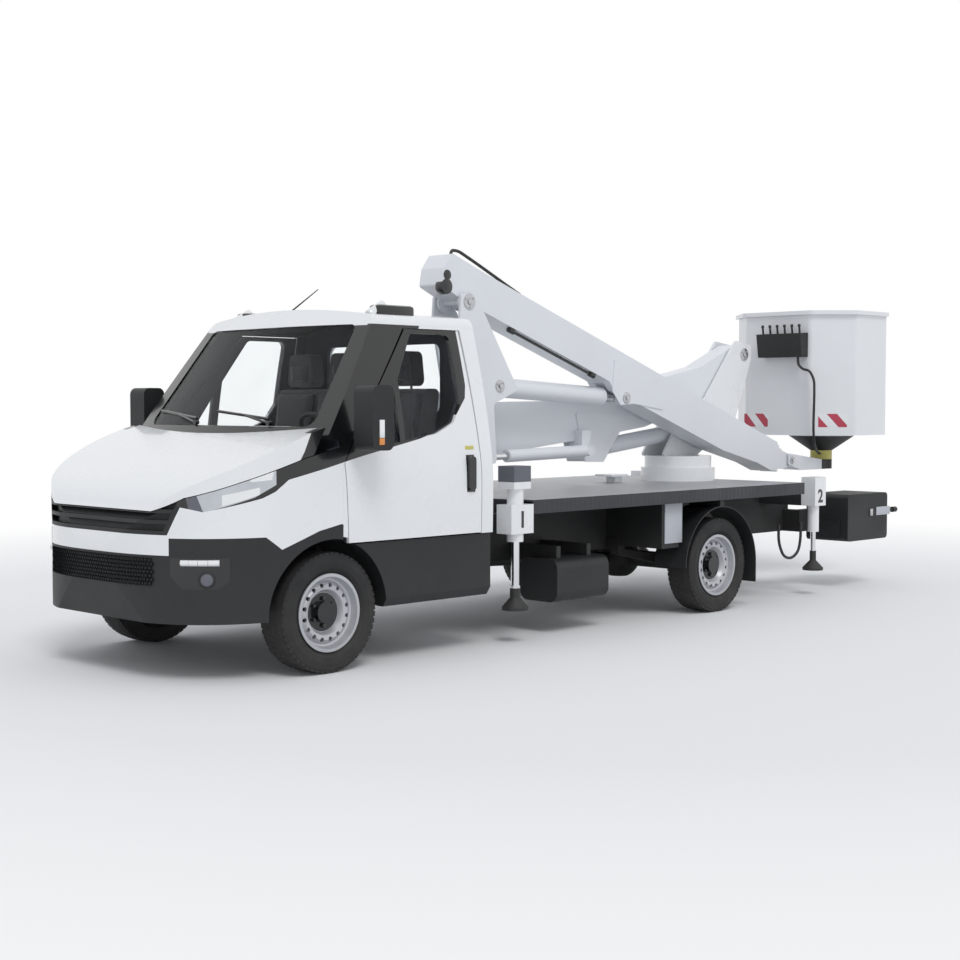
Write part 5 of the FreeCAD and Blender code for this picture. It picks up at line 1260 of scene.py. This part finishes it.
@dataclass
class WheelDetails:
    """Tread blocks, wheel bolts and hub caps of the four wheels."""

    tyre_radius: float = 0.35
    rows: tuple[float, ...] = (-0.078, -0.027, 0.027, 0.078)
    block_width: float = 0.042
    block_count: int = 54
    block_share: float = 0.78
    shoulder_drop: float = 0.0045
    bolt_count: int = 6
    bolt_ring: float = 0.078
    bolt_radius: float = 0.013
    cap_radius: float = 0.044

    def build(self) -> None:
        """Builds the details of every wheel."""
        for axle in Axle:
            for side in Side:
                self.tread(axle, side)
                self.hub(axle, side)

    def tread(self, axle: Axle, side: Side) -> None:
        """Models a tyre's tread: one row of blocks, copied around the axle.

        Args:
            axle: the wheel's axle.
            side: the wheel's side.
        """
        name = f"{axle.tag}_{side.tag}"
        low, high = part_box(f"tyre_{name}")
        middle = ((low.x + high.x) / 2, back(axle.value), self.tyre_radius)
        reach = math.pi * self.tyre_radius / self.block_count * self.block_share
        half, top = self.block_width / 2, self.tyre_radius + self.tyre_radius
        parts = []
        for index, across in enumerate(self.rows):
            x = middle[0] + across
            drop = self.shoulder_drop if abs(across) > 0.05 else 0.0
            shift = reach if index % 2 else 0.0
            parts.append(block("tread", (x - half, middle[1] - reach + shift, top - 0.014 - drop),
                               (x + half, middle[1] + reach + shift, top + 0.0005 - drop), 0.0))
        row = joined("tread", parts)
        rows = [row] + [turned(row, 360.0 * index / self.block_count, middle)
                        for index in range(1, self.block_count)]
        Piece(f"wheel_{name}", "tyre", TYRE).give(joined(f"tread_{name}", rows))

    def hub(self, axle: Axle, side: Side) -> None:
        """Models a wheel's bolts and hub cap.

        Args:
            axle: the wheel's axle.
            side: the wheel's side.
        """
        name = f"{axle.tag}_{side.tag}"
        y, z = back(axle.value), self.tyre_radius
        face = beside(f"rim_{name}", y, z + self.bolt_ring, side)
        inner, outer, cap = (face.x + side.value * lift for lift in (-0.004, 0.016, 0.026))
        parts = []
        for index in range(self.bolt_count):
            angle = 2 * math.pi * index / self.bolt_count
            spot = (y + self.bolt_ring * math.sin(angle), z + self.bolt_ring * math.cos(angle))
            parts.append(bar("bolt", (inner, *spot), (outer, *spot), self.bolt_radius, 6,
                             bevel=0.001))
        parts.append(bar("cap", (inner, y, z), (cap, y, z), self.cap_radius, 24, 0.036, 0.003))
        Piece(f"wheel_{name}", "black_plastic", TRIM).give(joined(f"hub_{name}", parts))


@dataclass
class DeckDetails:
    """The stabilisers' numbers, the tool box's plate and latches, bolts and the guard plate."""

    number_size: float = 0.145
    number_foot: float = 0.756
    plate_half: float = 0.11
    plate_foot: float = 0.60
    plate_height: float = 0.07
    latch_shift: float = 0.2
    latch_half: float = 0.02
    latch_height: float = 0.06
    guard_reach: tuple[float, float] = (3.13, 3.33)
    guard_low: float = 0.545
    guard_high: float = 0.845
    bolt_pitch: float = 0.5
    bolt_inset: float = 0.05
    bolt_radius: float = 0.010

    def build(self) -> None:
        """Builds every detail of the deck."""
        for number, leg in (("1", "leg_front_left"), ("2", "leg_rear_left")):
            self.number(number, leg)
        self.tool_box_plate()
        self.deck_bolts()
        self.guard_plate()

    def number(self, text: str, leg: str) -> None:
        """Models a stabiliser's number as a thin raised figure on its housing's outer side.

        Args:
            text: the figure.
            leg: the leg whose housing carries it.
        """
        low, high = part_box(leg)
        middle = (low.y + high.y) / 2
        face = beside("stabiliser_housings", middle, self.number_foot + self.number_size / 2)
        alone(None)
        bpy.ops.object.text_add()
        obj = bpy.context.object
        obj.name = f"number_{text}"
        figure = obj.data
        figure.body = text
        figure.size = self.number_size
        figure.align_x = "CENTER"
        figure.extrude = 0.0008
        figure.offset = 0.004
        bpy.ops.object.convert(target="MESH")
        obj = bpy.context.object
        obj.rotation_euler = (math.radians(90.0), 0.0, math.radians(90.0))
        obj.location = (face.x + 0.0006, middle, self.number_foot)
        Piece("vehicle", "black_plastic", TRIM).give(obj)

    def tool_box_plate(self) -> None:
        """Models the grey plate and the two latches on the tool box's outer side."""
        low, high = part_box("tool_box")
        y, foot = (low.y + high.y) / 2, self.plate_foot
        face = beside("tool_box", y, foot)
        plate = block("plate", (face.x - 0.002, y - self.plate_half, foot),
                      (face.x + 0.003, y + self.plate_half, foot + self.plate_height), 0.001)
        Piece("vehicle", "steel", GREY).give(plate)
        latches = []
        for shift in (-self.latch_shift, self.latch_shift):
            spot = beside("tool_box", y + shift, foot + 0.02)
            latches.append(block(
                "latch", (spot.x - 0.003, spot.y - self.latch_half, foot),
                (spot.x + 0.012, spot.y + self.latch_half, foot + self.latch_height), 0.004))
        Piece("vehicle", "steel", STEEL).give(joined("latches", latches))

    def deck_bolts(self) -> None:
        """Models the row of bolt heads along each of the deck's side edges."""
        low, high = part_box("deck")
        count = int((high.y - low.y) / self.bolt_pitch)
        heads = []
        for side in Side:
            for index in range(1, count):
                y = low.y + index * (high.y - low.y) / count
                top = above("deck", side.value * (high.x - self.bolt_inset), y)
                if abs(top.z - high.z) < 0.01:
                    heads.append(bar("bolt", (top.x, y, top.z - 0.002), (top.x, y, top.z + 0.005),
                                     self.bolt_radius, 6, 0.008))
        Piece("vehicle", "steel", STEEL).give(joined("deck_bolts", heads))

    def guard_plate(self) -> None:
        """Models the light grey plate ahead of the left rear wheel."""
        first, last = self.guard_reach
        face = beside("chassis_frame", back((first + last) / 2), self.guard_low + 0.10)
        plate = block("guard_plate", (face.x - 0.002, back(first), self.guard_low),
                      (face.x + 0.007, back(last), self.guard_high), 0.002)
        Piece("vehicle", "steel", GREY).give(plate)


@dataclass(frozen=True)
class PinSpot:
    """A pin whose end shows on the left side.

    Args:
        node: the node its end sits on, which is also the body that carries it.
        along: its distance behind the front axle.
        up: its height.
        radius: the radius of its end plate.
    """

    node: str
    along: float
    up: float
    radius: float = 0.045


@dataclass
class BoomDetails:
    """Pin ends, the head's black rollers and the chain that runs below the boom."""

    pins: tuple[PinSpot, ...] = (
        PinSpot("elbow", 1.80, 2.235, 0.055), PinSpot("elbow", 2.10, 1.667),
        PinSpot("upper_boom", 3.51, 1.589), PinSpot("basket_bracket", 5.80, 1.06, 0.034),
        PinSpot("elbow", 1.95, 1.16, 0.034), PinSpot("turret", 5.42, 1.965, 0.055))
    slope: float = math.radians(18.9)
    head: tuple[float, float] = (1.80, 2.235)
    chain_reach: tuple[float, float] = (0.50, 1.42)
    chain_place: tuple[float, float] = (0.235, -0.018)
    chain_radius: float = 0.011
    anchor_radius: float = 0.021
    anchor_half: float = 0.03
    rollers: tuple[Point, ...] = ((-0.205, 0.03, 0.052), (-0.225, 0.105, 0.035))
    roller_start: float = 0.20
    roller_end: float = 0.264
    bolt_turns: Point = (0.6, 2.7, 4.8)
    bolt_share: float = 0.72

    def build(self) -> None:
        """Builds every detail of the booms."""
        for index, pin in enumerate(self.pins):
            self.pin_end(pin, index)
        self.head_rollers()
        self.chain()

    def on_boom(self, along: float, across: float, x: float) -> Point:
        """Gives a point of the upper boom.

        Args:
            along: distance from its pivot.
            across: distance above its pivot line.
            x: place across the truck.

        Returns:
            The point.
        """
        y = back(self.head[0] + along * math.cos(self.slope) + across * math.sin(self.slope))
        z = self.head[1] - along * math.sin(self.slope) + across * math.cos(self.slope)
        return (x, y, z)

    def pin_end(self, pin: PinSpot, index: int) -> None:
        """Models a pin's end plate with its nut and bolt heads.

        Args:
            pin: where it is.
            index: its number.
        """
        y, z, radius = back(pin.along), pin.up, pin.radius
        x = beside(pin.node, y, z).x
        parts = [bar("plate", (x - 0.002, y, z), (x + 0.006, y, z), radius, 32, radius * 0.97,
                     0.001),
                 bar("nut", (x, y, z), (x + 0.016, y, z), radius * 0.42, 6, bevel=0.001)]
        ring = radius * self.bolt_share
        for turn in self.bolt_turns:
            spot = (y + ring * math.cos(turn), z + ring * math.sin(turn))
            parts.append(bar("bolt", (x, *spot), (x + 0.011, *spot), radius * 0.14, 6))
        Piece(pin.node, "steel", STEEL).give(joined(f"pin_end_{index}", parts))

    def chain(self) -> None:
        """Models the extension chain close below the boom's front part, with two anchors."""
        x, under = self.chain_place
        first, last = (self.on_boom(along, under, x) for along in self.chain_reach)
        parts = [bar("chain", first, last, self.chain_radius, 8)]
        for along in self.chain_reach:
            parts.append(bar("anchor", self.on_boom(along - self.anchor_half, under, x),
                             self.on_boom(along + self.anchor_half, under, x),
                             self.anchor_radius, 10, bevel=0.003))
        Piece("upper_boom", "black_plastic", TRIM).give(joined("chain", parts))

    def head_rollers(self) -> None:
        """Models the black rollers in the boom's head, with a nut on the larger one."""
        end = self.roller_end
        parts = [bar("roller", self.on_boom(along, across, self.roller_start),
                     self.on_boom(along, across, end), radius, 24, bevel=0.004)
                 for along, across, radius in self.rollers]
        along, across, _ = self.rollers[0]
        parts.append(bar("nut", self.on_boom(along, across, end - 0.004),
                         self.on_boom(along, across, end + 0.0015), 0.018, 6))
        Piece("upper_boom", "black_plastic", TRIM).give(joined("head_cover", parts))


@dataclass
class BasketDetails:
    """The basket's striped warning stickers and the knobs on the control box's levers."""

    sticker: tuple[float, float] = (0.25, 0.115)
    corner_sticker: Point = (0.455, 3.175, 1.40)
    front_sticker: Point = (-0.24, 3.03, 1.40)
    knob_count: int = 6
    knob_radius: float = 0.014
    knob_half: float = 0.012
    lever_inset: float = 0.044

    def build(self) -> None:
        """Builds every detail of the basket."""
        film = StripedFilm("warning_film", (0.9, 0.35, 0.8))
        sheets = [self.sheet("sticker_corner", self.corner_sticker, 45.0),
                  self.sheet("sticker_front", self.front_sticker, 0.0)]
        for sheet in sheets:
            Piece("basket", "basket_white", film).give(sheet)
        self.knobs()

    def sheet(self, name: str, middle: Point, turn: float) -> Object:
        """Models a sticker that lies on the basket's wall.

        Args:
            name: what it is called.
            middle: the sticker's middle.
            turn: its turn about the vertical, in degrees from facing forwards.

        Returns:
            The sticker.
        """
        width, height = self.sticker
        obj = block(name, (-width / 2, -0.0012, -height / 2), (width / 2, 0.0004, height / 2), 0.0)
        obj.rotation_euler = (0.0, 0.0, math.radians(turn))
        obj.location = middle
        return obj

    def knobs(self) -> None:
        """Models the round knobs on the control box's levers."""
        low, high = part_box("control_box")
        pitch = (high.x - low.x) / self.knob_count
        knobs = []
        for index in range(self.knob_count):
            x = low.x + pitch * (index + 0.5)
            y = low.y + self.lever_inset
            knobs.append(bar("knob", (x, y, high.z - self.knob_half),
                             (x, y - 0.001, high.z + self.knob_half), self.knob_radius, 12,
                             0.012, 0.003))
        Piece("basket", "black_plastic", TRIM).give(joined("lever_knobs", knobs))


def dress_nodes() -> None:
    """Gives every CAD node its finish, and shades it smooth across gentle edges."""
    for surface, names in NODE_FINISHES:
        for name in names:
            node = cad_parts[name]
            slots = node.data.materials
            if not slots:
                slots.append(None)
            for index in range(len(slots)):
                slots[index] = finished(surface)
            smoothed(node, 30.0)
        LOG.info("%s on %s", surface.name, ", ".join(names))


def main() -> None:
    """Builds the studio and dresses the truck."""
    logging.basicConfig(level=logging.INFO, format="%(name)s: %(message)s")
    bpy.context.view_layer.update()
    bpy.context.scene.view_settings.view_transform = "Standard"
    Studio().build()
    dress_nodes()
    for details in (CabDetails(), SeatPads(), WheelDetails(), DeckDetails(), BoomDetails(),
                    BasketDetails()):
        details.build()
    LOG.info("done")


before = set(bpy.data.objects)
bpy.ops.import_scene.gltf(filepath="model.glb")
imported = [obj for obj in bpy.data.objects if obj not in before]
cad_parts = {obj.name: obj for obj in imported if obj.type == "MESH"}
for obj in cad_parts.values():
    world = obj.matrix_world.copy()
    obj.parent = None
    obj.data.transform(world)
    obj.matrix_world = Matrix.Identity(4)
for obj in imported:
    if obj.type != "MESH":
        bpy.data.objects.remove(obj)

if __name__ == "__main__":
    main()
